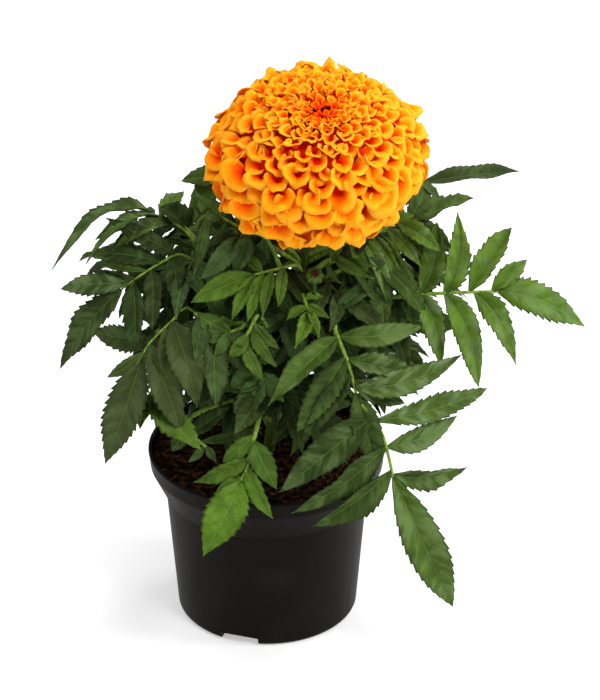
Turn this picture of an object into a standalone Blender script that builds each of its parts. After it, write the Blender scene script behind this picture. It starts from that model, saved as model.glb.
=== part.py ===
"""Potted African marigold: one double bloom, a bud and toothed pinnate fronds on a branched stem.

The plant stands in the soil of a round nursery pot. Lengths are millimetres until a mesh is made.
The pot's axis is the Z axis, the foot stands on Z = 0 and the side seen first faces -Y.
"""

import math
import random
from collections import namedtuple

import bmesh
import bpy
from mathutils import Matrix, Vector
from mathutils.bvhtree import BVHTree

MM = 0.001
GAP = 0.3
SEED = 12
SHARP_ANGLE = 40.0

# Pot
RIM_RADIUS = 60.0
POT_HEIGHT = 92.0
LIP_DROP = 9.0
LIP_TAPER = 1.0
SHOULDER_RADIUS = 52.4
SHOULDER_HEIGHT = 69.0
SHOULDER_STEP = 1.0
BASE_RADIUS = 46.2
CORNER_RADIUS = 3.0
WALL = 1.7
FLOOR_TOP = 5.0
FOOT_RECESS = 2.2
FOOT_WIDTH = 5.0
CENTRE_PAD_RADIUS = 11.0
POT_SEGMENTS = 40
NOTCH_COUNT = 3
NOTCH_WIDTH = 20.0
NOTCH_HEIGHT = 5.5
NOTCH_DEPTH = 7.0
NOTCH_FIRST_ANGLE = 252.0
DRAIN_HOLE_RADIUS = 4.0
DRAIN_HOLE_CIRCLE = 27.0

# Soil
SOIL_LEVEL = 87.0
SOIL_SEGMENTS = 28
SOIL_RINGS = 4
SOIL_BUMP = 1.3

# Stem and side branches: (x, y, z, radius) along each line
MAIN_STEM = (
    (0, 0, 60, 3.0), (0, 0, 73, 3.0), (0, 0, 86, 3.0), (3.5, 0, 106, 2.8),
    (9, 0, 140, 2.6), (16, 0, 174, 2.4), (19.5, 1, 198, 2.3),
)
LEFT_BRANCH = (
    (7, 0, 124, 1.9), (-7, -3, 142, 1.9), (-24, -5, 168, 1.9), (-34, -6, 194, 1.8), (-34, -5, 210, 1.5),
)
RIGHT_BRANCH = (
    (11, 0, 146, 1.8), (24, 2, 158, 1.8), (38, 5, 176, 1.7), (48, 6, 196, 1.5),
)
BACK_BRANCH = (
    (8, 0, 132, 1.9), (5, 14, 148, 1.9), (-1, 28, 172, 1.8), (-3, 34, 196, 1.5),
)
STEM_TOP_RADIUS = 2.4
STEM_SIDES = 8
BRANCH_SIDES = 6

# Flower head
HEAD_CENTRE = Vector((25.0, -9.0, 257.5))
HEAD_RADIUS = 52.5
HEAD_HALF_HEIGHT = 34.0
HEAD_LEAN = 19.0
HEAD_TURN = -2.0
CORE_SHARE = 0.78
PETAL_COUNT = 84
PETAL_THICKNESS = 0.9
PETAL_ROOT_SHARE = 0.72
PETAL_THROAT_DROP = 0.26
PETAL_TIP_REACH = 0.58
PETAL_ROLL = 0.15
POLE_PETAL_RISE = 0.40
POLE_PETAL_WIDTH = 9.0
RIM_PETAL_WIDTH = 20.0
POLE_PETAL_LENGTH = 9.0
RIM_PETAL_LENGTH = 19.0
LOWEST_PETAL_POLAR = 126.0
CALYX_TOP_RADIUS = 11.5
CALYX_TOP = -28.0
CALYX_HEIGHT = 20.0
CALYX_WALL = 1.6
NECK_RADIUS = 9.0
NECK_END = -34.0

# Bud on its own stalk
BUD_CENTRE = Vector((24.0, -31.0, 203.0))
BUD_RADIUS = 3.9
BUD_HALF_HEIGHT = 5.0
BUD_STALK = ((12.3, 0, 157, 1.1), (17, -14, 168, 1.0), (23, -26, 185, 1.0), (24, -31, 203, 1.0))

# Blades
BLADE_THICKNESS = 0.7
BLADE_BOW = 0.06
RIB_ROOT_RADIUS = 1.5
RIB_TIP_RADIUS = 0.85
RIB_SIDES = 5
RIB_RINGS = 6
SMALL_LEAFLET = 27.0
CLEARANCE = 0.45

# Half-width of a leaflet along its length, with forward-pointing teeth
LARGE_OUTLINE = ((0.0, 0.16), (0.28, 0.86), (0.50, 1.04), (0.54, 0.80), (0.75, 0.74), (0.78, 0.50))
SMALL_OUTLINE = ((0.0, 0.20), (0.30, 0.90), (0.58, 1.02), (0.62, 0.70))

# How a leaflet may be moved to stand clear of another frond: lift and turn in degrees, then length share
CLEAR_TRIALS = tuple(
    (lift, turn, share)
    for share in (1.0, 0.85, 0.7)
    for lift, turn in (
        (0, 0), (9, 0), (-9, 0), (0, 8), (0, -8), (16, 0), (-16, 0), (9, 8), (-9, -8),
        (24, 0), (-24, 0), (16, -10), (-16, 10), (0, 16), (0, -16), (34, 0), (-34, 0),
    )
)

Frond = namedtuple("Frond", "name rib face leaflets")


def paired(count, length, width, first=0.42, spread=72.0):
    """Leaflets as (share of the rib, angle, length, width): count pairs and one at the end."""
    leaflets = []
    for index in range(count):
        along = index / max(count - 1, 1)
        share = first + (0.94 - first) * along
        size = length * (0.72 + 0.28 * math.sin(math.pi * (0.25 + 0.6 * along)))
        for side in (1, -1):
            angle = side * (spread - 22.0 * along)
            leaflets.append((share - 0.02 * side, angle, size, width * 0.9))
    leaflets.append((1.0, 3.0, length * 1.12, width * 1.1))
    return tuple(leaflets)


# Each frond: the line of its rib, the way its upper face looks, and its leaflets
FRONDS = (
    Frond("frond_right", ((15, 0, 169), (41, -8, 179), (64, -12, 182), (86, -14, 185), (114, -14, 186)),
          (0.10, -0.80, 0.60),
          ((0.63, 87, 42, 13), (0.76, 82, 41, 11), (0.86, 60, 39, 11), (0.97, 46, 24, 9),
           (0.62, -82, 34, 11), (0.76, -76, 49, 12), (0.88, -65, 40, 11), (1.0, -24, 46, 14))),
    Frond("frond_front_right", ((16, 0, 174), (32, -16, 177), (34, -34, 175), (40, -42, 162), (44, -50, 149)),
          (0.15, -0.75, 0.65),
          ((0.55, 85, 44, 10), (0.73, 62, 39, 10), (0.94, 90, 57, 11),
           (0.56, -68, 48, 12), (0.71, -60, 44, 13), (0.83, -56, 41, 10), (1.0, -3, 39, 12))),
    Frond("frond_hanging_right", ((12, 0, 150), (30, -26, 149), (46, -52, 145), (54, -58, 137), (62, -66, 111)),
          (0.25, -0.85, 0.50),
          ((0.66, 83, 63, 11), (0.82, 99, 40, 10), (0.96, 82, 40, 10),
           (0.62, -94, 58, 13), (0.80, -74, 56, 11), (0.94, -70, 46, 11), (1.0, 17, 75, 18))),
    Frond("frond_centre", ((17.5, 0, 184), (16, -20, 203), (5, -28, 205), (-6, -32, 204)),
          (-0.10, -0.75, 0.65),
          ((0.98, 13, 33, 10), (0.83, -68, 16, 6), (0.93, 50, 25, 6), (0.81, 58, 25, 6), (0.70, 63, 24, 6),
           (0.55, 65, 20, 6))),
    Frond("frond_left", ((-34, -7, 199), (-42, -10, 204), (-50, -14, 202), (-61, -17, 196), (-70, -18, 189)),
          (-0.20, -0.75, 0.62),
          ((0.27, -35, 39, 10), (0.88, -37, 39, 8), (0.83, 54, 34, 10), (0.62, 63, 30, 9), (0.38, 63, 23, 10),
           (1.0, 16, 50, 16))),
    Frond("frond_left_arch", ((-34, -4, 209), (-39, -2, 215), (-45, 0, 219), (-51, 1, 221)),
          (-0.30, -0.50, 0.80),
          ((0.86, 47, 45, 9), (0.68, 51, 31, 8), (1.0, 24, 54, 12))),
    Frond("frond_low_left", ((5, 0, 121), (-16, -14, 152), (-36, -26, 183), (-46, -32, 178), (-60, -38, 162)),
          (-0.15, -0.85, 0.50),
          ((0.88, 61, 45, 13), (0.66, 69, 44, 14), (0.88, -60, 30, 13), (0.72, 62, 35, 9), (1.0, 13, 55, 17))),
    Frond("frond_front", ((4, 0, 106), (-1, -22, 134), (-3, -48, 134), (-6, -56, 125), (-12, -66, 109)),
          (-0.10, -0.80, 0.55),
          ((0.62, -39, 21, 8), (0.80, -56, 31, 9), (0.92, -40, 15, 6),
           (0.66, 45, 26, 11), (0.82, 42, 27, 9), (1.0, 10, 41, 16))),
    Frond("frond_rim_left", ((6, 0, 112), (-18, -10, 136), (-44, -24, 146), (-58, -38, 140)),
          (-0.30, -0.70, 0.60),
          ((0.90, 66, 29, 9), (0.97, 83, 41, 13), (1.0, 33, 18, 8))),
    Frond("frond_upper_right", ((19, 0.5, 194), (44, 6, 205), (60, 10, 208), (72, 12, 211)),
          (0.30, -0.55, 0.75), paired(3, 30, 11)),
    Frond("frond_right_inner", ((18, 0, 188), (38, -8, 201), (54, -10, 200)),
          (0.30, -0.80, 0.50),
          ((0.62, -50, 26, 10), (0.90, -60, 34, 11), (1.0, -30, 36, 12), (0.55, 40, 22, 9))),
    Frond("frond_upper_left", ((18.5, 0.5, 192), (-3, -16, 216), (-16, -25, 225), (-27, -32, 234)),
          (-0.20, -0.75, 0.60),
          ((0.56, 83, 21, 9), (0.75, 4, 23, 10), (0.99, 118, 34, 7))),
    Frond("frond_inner_left", ((9, 0, 140), (-5, -16, 168), (-16, -26, 174), (-24, -34, 172)),
          (-0.10, -0.85, 0.45),
          ((0.72, 95, 26, 10), (0.86, 80, 28, 11), (0.90, -50, 18, 8), (1.0, 40, 34, 12))),
    Frond("frond_inner_front", ((7, 0, 128), (2, -22, 146), (-2, -38, 143)),
          (0.0, -0.85, 0.50),
          ((0.75, 60, 24, 10), (0.80, -60, 26, 10), (1.0, -4, 28, 12))),
    Frond("frond_young", ((16.8, 0, 178), (18, -24, 190), (21, -38, 187)),
          (0.05, -0.85, 0.50),
          ((0.79, 39, 14, 6), (0.83, -79, 11, 6), (1.0, -30, 23, 8))),
    Frond("frond_behind_right", ((19.5, 1, 198), (44, 14, 215), (69, 28, 223), (77, 32, 223)),
          (0.10, -0.45, 0.88),
          ((0.69, 36, 14, 8), (0.75, -58, 16, 6), (1.0, 6, 58, 9))),
    Frond("frond_behind_left", ((18.5, 0.5, 191), (2, 12, 214), (-18, 20, 222), (-24, 22, 226)),
          (-0.20, -0.60, 0.75), paired(2, 22, 9)),
    Frond("frond_right_low", ((16, 0, 168), (38, 4, 166), (60, 6, 160)),
          (0.30, -0.75, 0.55), paired(3, 34, 12)),
    Frond("frond_back_left", ((-27, -5, 174), (-44, 14, 186), (-62, 30, 182)),
          (-0.30, 0.25, 0.90), paired(3, 36, 13)),
    Frond("frond_back_right", ((34, 4, 170), (54, 24, 178), (70, 40, 170)),
          (0.35, 0.30, 0.85), paired(3, 40, 13)),
    Frond("frond_back_middle", ((-1, 28, 172), (8, 50, 184), (14, 74, 172)),
          (0.05, 0.45, 0.85), paired(4, 38, 13)),
    Frond("frond_back_low_left", ((3, 0, 98), (-18, 30, 128), (-36, 56, 128), (-46, 68, 116)),
          (-0.25, 0.50, 0.80), paired(3, 38, 14)),
    Frond("frond_back_low_right", ((4, 0, 104), (26, 28, 130), (46, 50, 128), (56, 62, 116)),
          (0.30, 0.45, 0.80), paired(3, 38, 14)),
    Frond("frond_back_upper", ((-3, 34, 194), (-14, 50, 212), (-26, 68, 210)),
          (-0.15, 0.35, 0.90), paired(3, 32, 11)),
)


def clear_scene():
    """Remove every object that is in the file at the start."""
    for found in list(bpy.data.objects):
        bpy.data.objects.remove(found, do_unlink=True)


def make_material(name, colour, roughness):
    """A Principled material of one colour."""
    material = bpy.data.materials.new(name)
    material.use_nodes = True
    shader = material.node_tree.nodes["Principled BSDF"]
    shader.inputs["Base Color"].default_value = (*colour, 1.0)
    shader.inputs["Roughness"].default_value = roughness
    return material


def new_object(name, mesh, material=None, collection=None):
    """Link a mesh to the scene as an object, with its material."""
    if material:
        mesh.materials.append(material)
    made = bpy.data.objects.new(name, mesh)
    (collection or bpy.context.scene.collection).objects.link(made)
    return made


def mesh_from(name, points, faces):
    """A mesh in metres from points in millimetres, its faces turned outwards."""
    mesh = bpy.data.meshes.new(name)
    mesh.from_pydata([tuple(MM * Vector(point)) for point in points], [], faces)
    work = bmesh.new()
    work.from_mesh(mesh)
    bmesh.ops.recalc_face_normals(work, faces=work.faces[:])
    work.to_mesh(mesh)
    work.free()
    return mesh


def apply_modifiers(item):
    """Replace an object's mesh by what its modifiers make of it."""
    bpy.context.view_layer.update()
    graph = bpy.context.evaluated_depsgraph_get()
    mesh = bpy.data.meshes.new_from_object(item.evaluated_get(graph))
    item.modifiers.clear()
    item.data = mesh


def boolean(item, operation, other=None, collection=None, solver="EXACT"):
    """Join a solid or a collection to an object, or cut it away, and apply the result."""
    change = item.modifiers.new(operation.title(), "BOOLEAN")
    change.operation = operation
    change.solver = solver
    if collection:
        change.operand_type = "COLLECTION"
        change.collection = collection
    else:
        change.object = other
    apply_modifiers(item)


def shade_round(item):
    """Shade an object smooth, with its sharp corners kept."""
    item.data.shade_smooth()
    item.data.set_sharp_from_angle(angle=math.radians(SHARP_ANGLE))


def signed_volume(faces):
    """Volume inside a set of faces, negative where they face inwards."""
    total = 0.0
    for face in faces:
        corners = [vertex.co for vertex in face.verts]
        for second, third in zip(corners[1:], corners[2:]):
            total += corners[0].dot(second.cross(third)) / 6.0
    return total


def keep_largest_shell(item):
    """Fill sealed hollows and drop loose scraps: only the largest closed shell stays."""
    work = bmesh.new()
    work.from_mesh(item.data)
    unseen = set(work.faces)
    shells = []
    while unseen:
        stack = [unseen.pop()]
        shell = []
        while stack:
            face = stack.pop()
            shell.append(face)
            for edge in face.edges:
                for near in edge.link_faces:
                    if near in unseen:
                        unseen.discard(near)
                        stack.append(near)
        shells.append(shell)
    largest = max(shells, key=signed_volume)
    extra = [face for shell in shells if shell is not largest for face in shell]
    bmesh.ops.delete(work, geom=extra, context="FACES")
    work.to_mesh(item.data)
    work.free()


def remove_collection(collection):
    """Remove a collection together with its objects."""
    for found in list(collection.objects):
        bpy.data.objects.remove(found, do_unlink=True)
    bpy.data.collections.remove(collection)


def spline(points, count):
    """Evenly counted points along a smooth line through the given ones, with any extra values carried."""
    rows = [tuple(map(float, point)) for point in points]
    made = []
    for step in range(count):
        place = step / (count - 1) * (len(rows) - 1)
        at = min(int(place), len(rows) - 2)
        t = place - at
        before, start, end, after = (
            rows[max(at - 1, 0)], rows[at], rows[at + 1], rows[min(at + 2, len(rows) - 1)],
        )
        made.append(tuple(
            0.5 * (2 * b + (c - a) * t + (2 * a - 5 * b + 4 * c - d) * t * t + (3 * b - a - 3 * c + d) * t ** 3)
            for a, b, c, d in zip(before, start, end, after)
        ))
    return made


def tube(line, sides, extra=0.0):
    """Points and faces of a closed tube along a line of (x, y, z, radius)."""
    points, faces = [], []
    aside = None
    for index, (x, y, z, radius) in enumerate(line):
        here = Vector((x, y, z))
        before = Vector(line[max(index - 1, 0)][:3])
        after = Vector(line[min(index + 1, len(line) - 1)][:3])
        along = (after - before).normalized()
        if aside is None:
            aside = along.orthogonal().normalized()
        aside = (aside - aside.dot(along) * along).normalized()
        across = along.cross(aside)
        for side in range(sides):
            turn = 2 * math.pi * side / sides
            points.append(here + (radius + extra) * (math.cos(turn) * aside + math.sin(turn) * across))
    for ring in range(len(line) - 1):
        for side in range(sides):
            a, b = ring * sides + side, ring * sides + (side + 1) % sides
            faces.append((a, b, b + sides, a + sides))
    last = (len(line) - 1) * sides
    faces.append(tuple(reversed(range(sides))))
    faces.append(tuple(range(last, last + sides)))
    return points, faces


def lathe(name, profile, material, segments):
    """A solid turned about the Z axis from a profile that starts and ends on the axis."""
    mesh = bpy.data.meshes.new(name)
    mesh.from_pydata([(MM * r, 0.0, MM * z) for r, z in profile], [(i, i + 1) for i in range(len(profile) - 1)], [])
    made = new_object(name, mesh, material)
    screw = made.modifiers.new("Turn", "SCREW")
    screw.steps = segments
    screw.render_steps = segments
    screw.use_merge_vertices = True
    screw.merge_threshold = 0.00001
    screw.use_normal_calculate = True
    apply_modifiers(made)
    work = bmesh.new()
    work.from_mesh(made.data)
    bmesh.ops.recalc_face_normals(work, faces=work.faces[:])
    work.to_mesh(made.data)
    work.free()
    return made


def cylinder(name, radius, bottom, top, x=0.0, y=0.0, segments=24):
    """A plain upright cylinder."""
    mesh = bpy.data.meshes.new(name)
    work = bmesh.new()
    bmesh.ops.create_cone(
        work, cap_ends=True, segments=segments, radius1=MM * radius, radius2=MM * radius,
        depth=MM * (top - bottom), matrix=Matrix.Translation(MM * Vector((x, y, (top + bottom) / 2))),
    )
    work.to_mesh(mesh)
    work.free()
    return new_object(name, mesh)


def corner_arc(radius, height, size, start, end, steps=3):
    """Points of a rounded corner of a profile about the centre (radius, height)."""
    return [
        (
            radius + size * math.cos(math.radians(start + (end - start) * step / steps)),
            height + size * math.sin(math.radians(start + (end - start) * step / steps)),
        )
        for step in range(steps + 1)
    ]


def inner_radius(height):
    """Inside radius of the pot's wall at a height."""
    lip_bottom = POT_HEIGHT - LIP_DROP
    if height >= lip_bottom:
        outer = RIM_RADIUS - LIP_TAPER
    elif height >= SHOULDER_HEIGHT:
        share = (height - SHOULDER_HEIGHT) / (lip_bottom - SHOULDER_HEIGHT)
        outer = SHOULDER_RADIUS + share * (RIM_RADIUS - LIP_TAPER - SHOULDER_RADIUS)
    else:
        body = SHOULDER_RADIUS - SHOULDER_STEP
        outer = BASE_RADIUS + height / SHOULDER_HEIGHT * (body - BASE_RADIUS)
    return outer - WALL


def make_pot(material):
    """The pot: rounded lip, tapering shoulder, ring foot, corner notches and drain holes."""
    lip_bottom = POT_HEIGHT - LIP_DROP
    body_top = SHOULDER_RADIUS - SHOULDER_STEP
    profile = [(0.0, 0.0), (CENTRE_PAD_RADIUS, 0.0), (CENTRE_PAD_RADIUS + 1.0, FOOT_RECESS)]
    foot = BASE_RADIUS - CORNER_RADIUS
    profile += [(foot - FOOT_WIDTH - 1.0, FOOT_RECESS), (foot - FOOT_WIDTH, 0.0)]
    profile += corner_arc(foot, CORNER_RADIUS, CORNER_RADIUS, -90, 0)
    profile += [(body_top, SHOULDER_HEIGHT - 1.0), (SHOULDER_RADIUS, SHOULDER_HEIGHT)]
    profile += [(RIM_RADIUS - LIP_TAPER, lip_bottom)]
    profile += corner_arc(RIM_RADIUS - WALL / 2, POT_HEIGHT - WALL / 2, WALL / 2, 0, 180)
    profile += [(inner_radius(lip_bottom), lip_bottom - 1.0), (inner_radius(SHOULDER_HEIGHT), SHOULDER_HEIGHT - 1.0)]
    profile += [(inner_radius(FLOOR_TOP), FLOOR_TOP), (0.0, FLOOR_TOP)]
    pot = lathe("pot", profile, material, POT_SEGMENTS)
    for index in range(NOTCH_COUNT):
        turn = math.radians(NOTCH_FIRST_ANGLE + 360.0 * index / NOTCH_COUNT)
        mesh = bpy.data.meshes.new("notch_cutter")
        work = bmesh.new()
        place = (
            Matrix.Rotation(turn, 4, "Z")
            @ Matrix.Translation(MM * Vector((BASE_RADIUS, 0, 0)))
            @ Matrix.Diagonal(MM * Vector((2 * NOTCH_DEPTH, NOTCH_WIDTH, 2 * NOTCH_HEIGHT))).to_4x4()
        )
        bmesh.ops.create_cube(work, size=1.0, matrix=place)
        work.to_mesh(mesh)
        work.free()
        cutter = new_object("notch_cutter", mesh)
        boolean(pot, "DIFFERENCE", cutter)
        bpy.data.objects.remove(cutter, do_unlink=True)
        across = turn + math.pi / NOTCH_COUNT
        hole = cylinder(
            "drain_cutter", DRAIN_HOLE_RADIUS, -1.0, FLOOR_TOP + 1.0,
            DRAIN_HOLE_CIRCLE * math.cos(across), DRAIN_HOLE_CIRCLE * math.sin(across), 12,
        )
        boolean(pot, "DIFFERENCE", hole)
        bpy.data.objects.remove(hole, do_unlink=True)
    return pot


def make_soil(material):
    """Soil that fills the pot to its level, with a lumpy top and a socket for the stem."""
    inside = GAP + 0.1
    profile = [(0.0, FLOOR_TOP + GAP), (inner_radius(FLOOR_TOP) - inside, FLOOR_TOP + GAP)]
    for height in (SHOULDER_HEIGHT, POT_HEIGHT - LIP_DROP):
        profile.append((inner_radius(height) - inside - 0.2, height - 1.0))
    profile += [(inner_radius(SOIL_LEVEL) - inside - 0.4, SOIL_LEVEL)]
    reach = profile[-1][0]
    profile += [(reach * (1 - ring / (SOIL_RINGS + 1)), SOIL_LEVEL) for ring in range(1, SOIL_RINGS + 2)]
    soil = lathe("soil", profile, material, SOIL_SEGMENTS)
    chance = random.Random(SEED)
    for vertex in soil.data.vertices:
        out = math.hypot(vertex.co.x, vertex.co.y) / (MM * reach)
        if vertex.co.z > MM * (SOIL_LEVEL - 0.5) and out < 0.97:
            vertex.co.z += MM * chance.uniform(-SOIL_BUMP, SOIL_BUMP)
    socket = cylinder(
        "socket_cutter", MAIN_STEM[0][3] + GAP + 0.4, MAIN_STEM[0][2] - GAP, SOIL_LEVEL + 10.0,
    )
    work = bmesh.new()
    work.from_mesh(soil.data)
    bmesh.ops.triangulate(work, faces=work.faces[:])
    work.to_mesh(soil.data)
    work.free()
    boolean(soil, "DIFFERENCE", socket)
    bpy.data.objects.remove(socket, do_unlink=True)
    return soil


def head_matrix():
    """Place and lean of the flower head, in millimetres."""
    lean = Matrix.Rotation(math.radians(HEAD_LEAN), 4, "X")
    turn = Matrix.Rotation(math.radians(HEAD_TURN), 4, "Y")
    return Matrix.Translation(HEAD_CENTRE) @ turn @ lean


def main_stem_line():
    """The main stem's line, which ends square to the foot of the cup under the head."""
    place = head_matrix()
    foot = CALYX_TOP - CALYX_HEIGHT
    ends = [place @ Vector((0, 0, foot - drop)) for drop in (6.0, 2.0 * GAP)]
    return MAIN_STEM + tuple((*end, STEM_TOP_RADIUS) for end in ends)


def make_stem(material):
    """The main stem with its three side branches, as one piece, and a fatter copy used as a cutter."""
    lines = ((main_stem_line(), STEM_SIDES, 13), (LEFT_BRANCH, BRANCH_SIDES, 9),
             (RIGHT_BRANCH, BRANCH_SIDES, 8), (BACK_BRANCH, BRANCH_SIDES, 8))
    made = []
    for name, extra in (("stem", 0.0), ("stem_cutter", GAP)):
        joined = bpy.data.collections.new(name + "_parts")
        bpy.context.scene.collection.children.link(joined)
        trunk = None
        for line, sides, rings in lines:
            points, faces = tube(spline(line, rings), sides, extra)
            mesh = mesh_from(name, points, faces)
            if trunk is None:
                trunk = new_object(name, mesh, material)
            else:
                new_object(name + "_branch", mesh, None, joined)
        boolean(trunk, "UNION", collection=joined)
        remove_collection(joined)
        keep_largest_shell(trunk)
        made.append(trunk)
    return made


def head_point(polar, around, share=1.0):
    """A point of the head's oval surface, and its outward and downward directions, before the lean."""
    out = Vector((math.cos(around), math.sin(around), 0.0))
    point = HEAD_RADIUS * math.sin(polar) * out + Vector((0, 0, HEAD_HALF_HEIGHT * math.cos(polar)))
    down = (HEAD_RADIUS * math.cos(polar) * out - Vector((0, 0, HEAD_HALF_HEIGHT * math.sin(polar)))).normalized()
    normal = (
        math.sin(polar) / HEAD_RADIUS * out + Vector((0, 0, math.cos(polar) / HEAD_HALF_HEIGHT))
    ).normalized()
    return share * point, normal, down


def petal_sheet(polar, around, chance):
    """Points and faces of one petal: a narrow claw in the core that opens to a wide notched fan."""
    grown = min(1.0, math.sin(min(polar, math.pi / 2)) ** 0.8)
    width = POLE_PETAL_WIDTH + (RIM_PETAL_WIDTH - POLE_PETAL_WIDTH) * grown
    length = POLE_PETAL_LENGTH + (RIM_PETAL_LENGTH - POLE_PETAL_LENGTH) * grown
    surface, normal, down = head_point(polar, around)
    across = normal.cross(down)
    root = surface * PETAL_ROOT_SHARE - down * 0.3 * length * grown
    middle = surface - normal * PETAL_THROAT_DROP * length
    rise = POLE_PETAL_RISE * (1.0 - grown)
    tip = surface + down * PETAL_TIP_REACH * length * grown + normal * rise * length
    wave = chance.uniform(0.8, 1.2)
    rows = (
        (root, 0.22, 0.0, 2),
        (middle, 0.78, PETAL_ROLL, 4),
        (tip, 1.0, PETAL_ROLL, 4),
    )
    points, faces = [], []
    for index, (centre, spread, roll, count) in enumerate(rows):
        for step in range(count):
            u = 2 * step / (count - 1) - 1
            edge = wave * (0.06 if step % 2 else -0.04) * length if index == 2 else 0.0
            points.append(
                centre + across * (0.5 * width * spread * u)
                + normal * (roll * width * u * u) + down * edge
            )
    faces += [(0, 3, 2), (0, 1, 4), (0, 4, 3), (1, 5, 4)]
    for step in range(3):
        a, b = 2 + step, 6 + step
        faces += [(a, a + 1, b + 1), (a, b + 1, b)]
    return points, faces


def make_bloom(material):
    """The flower head: a small oval core with petals in layers all over it."""
    core = bpy.data.meshes.new("bloom")
    work = bmesh.new()
    bmesh.ops.create_icosphere(work, subdivisions=2, radius=1.0)
    work.to_mesh(core)
    work.free()
    size = MM * CORE_SHARE * Vector((HEAD_RADIUS, HEAD_RADIUS, HEAD_HALF_HEIGHT))
    core.transform(Matrix.Diagonal(size).to_4x4())
    bloom = new_object("bloom", core, material)
    petals = bpy.data.collections.new("petals")
    bpy.context.scene.collection.children.link(petals)
    neck = cylinder("neck", NECK_RADIUS, NECK_END, 0.0, segments=16)
    bpy.context.scene.collection.objects.unlink(neck)
    petals.objects.link(neck)
    chance = random.Random(SEED)
    lowest = math.cos(math.radians(LOWEST_PETAL_POLAR))
    for index in range(PETAL_COUNT):
        level = 1.0 - (1.0 - lowest) * (index + 0.5) / PETAL_COUNT
        polar = math.acos(level)
        around = index * math.pi * (3 - math.sqrt(5)) + chance.uniform(-0.05, 0.05)
        points, faces = petal_sheet(polar, around, chance)
        petal = new_object("petal", mesh_from("petal", points, faces), None, petals)
        solid = petal.modifiers.new("Thickness", "SOLIDIFY")
        solid.thickness = MM * PETAL_THICKNESS
        solid.offset = 0.0
    boolean(bloom, "UNION", collection=petals, solver="MANIFOLD")
    remove_collection(petals)
    keep_largest_shell(bloom)
    place = head_matrix()
    place.translation *= MM
    bloom.data.transform(place)
    return bloom


def make_calyx(material):
    """The green cup under the head, which tapers to the top of the stem."""
    top = CALYX_TOP
    bottom = top - CALYX_HEIGHT
    profile = [(0.0, bottom), (2.5, bottom), (3.6, bottom + 3.0), (8.5, bottom + 8.0), (CALYX_TOP_RADIUS, top)]
    profile += [(CALYX_TOP_RADIUS - CALYX_WALL, top), (NECK_RADIUS + GAP, top - 1.0)]
    profile += [(NECK_RADIUS + GAP, NECK_END - GAP), (0.0, NECK_END - GAP)]
    calyx = lathe("calyx", profile, material, 20)
    place = head_matrix()
    place.translation *= MM
    calyx.data.transform(place)
    return calyx


def make_bud(material, cutter):
    """The young bud on a thin curved stalk."""
    points, faces = tube(spline(BUD_STALK, 8), BRANCH_SIDES)
    bud = new_object("bud", mesh_from("bud", points, faces), material)
    mesh = bpy.data.meshes.new("bud_ball")
    work = bmesh.new()
    bmesh.ops.create_uvsphere(work, u_segments=10, v_segments=7, radius=MM)
    work.to_mesh(mesh)
    work.free()
    shape = Matrix.Diagonal(Vector((BUD_RADIUS, BUD_RADIUS, BUD_HALF_HEIGHT))).to_4x4()
    mesh.transform(Matrix.Translation(MM * BUD_CENTRE) @ shape)
    ball = new_object("bud_ball", mesh)
    boolean(bud, "UNION", ball)
    bpy.data.objects.remove(ball, do_unlink=True)
    boolean(bud, "DIFFERENCE", cutter)
    keep_largest_shell(bud)
    return bud


def frond_frame(rib, face, share):
    """Place on the rib with its forward, sideways and upward directions."""
    place = share * (len(rib) - 1)
    at = min(int(place), len(rib) - 2)
    start, end = Vector(rib[at]), Vector(rib[at + 1])
    here = start.lerp(end, place - at)
    forward = (end - start).normalized()
    upward = (Vector(face) - Vector(face).dot(forward) * forward).normalized()
    return here, forward, upward.cross(forward), upward


def leaflet_sheet(frame, angle, length, width, lift=0.0):
    """Points of one bowed toothed leaflet, as left and right pairs and a tip, with its upward direction."""
    here, forward, sideways, upward = frame
    turn = math.radians(angle)
    out = math.cos(turn) * forward + math.sin(turn) * sideways
    across = upward.cross(out)
    if lift:
        tilt = Matrix.Rotation(math.radians(-lift), 3, across)
        out, upward = tilt @ out, tilt @ upward
    outline = LARGE_OUTLINE if length > SMALL_LEAFLET else SMALL_OUTLINE
    points = []
    for along, half in outline:
        middle = here + out * (length * along) + upward * (BLADE_BOW * length * 4 * along * (1 - along))
        for side in (1, -1):
            points.append(middle + across * (side * half * width / 2))
    points.append(here + out * length)
    return points, upward


def leaflet_faces(count):
    """Triangles over the left and right pairs and the tip."""
    faces = []
    for pair in range(0, count - 3, 2):
        faces += [(pair, pair + 1, pair + 3), (pair, pair + 3, pair + 2)]
    faces.append((count - 3, count - 2, count - 1))
    return faces


def padded_tree(points, upward, pad):
    """A search tree of the closed prism that a leaflet and its clearance fill."""
    count = len(points)
    both = [point + upward * pad for point in points] + [point - upward * pad for point in points]
    faces = []
    for a, b, c in leaflet_faces(count):
        faces += [(a, b, c), (a + count, c + count, b + count)]
    ring = list(range(0, count - 1, 2)) + [count - 1] + list(range(count - 2, 0, -2))
    for here, after in zip(ring, ring[1:] + ring[:1]):
        faces += [(here, after, after + count), (here, after + count, here + count)]
    return BVHTree.FromPolygons(both, faces)


def object_tree(item):
    """A search tree of an object's faces, in millimetres."""
    points = [vertex.co / MM for vertex in item.data.vertices]
    return BVHTree.FromPolygons(points, [tuple(face.vertices) for face in item.data.polygons])


def is_clear(tree, own, obstacles):
    """Whether a tree meets none of the obstacles of other nodes."""
    return not any(owner != own and tree.overlap(other) for owner, other in obstacles)


def frond_rib(frond):
    """The smooth line of a frond's rib, with its radius."""
    line = spline(frond.rib, RIB_RINGS)
    last = len(line) - 1
    return [
        (*point, RIB_ROOT_RADIUS + (RIB_TIP_RADIUS - RIB_ROOT_RADIUS) * index / last)
        for index, point in enumerate(line)
    ]


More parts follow.
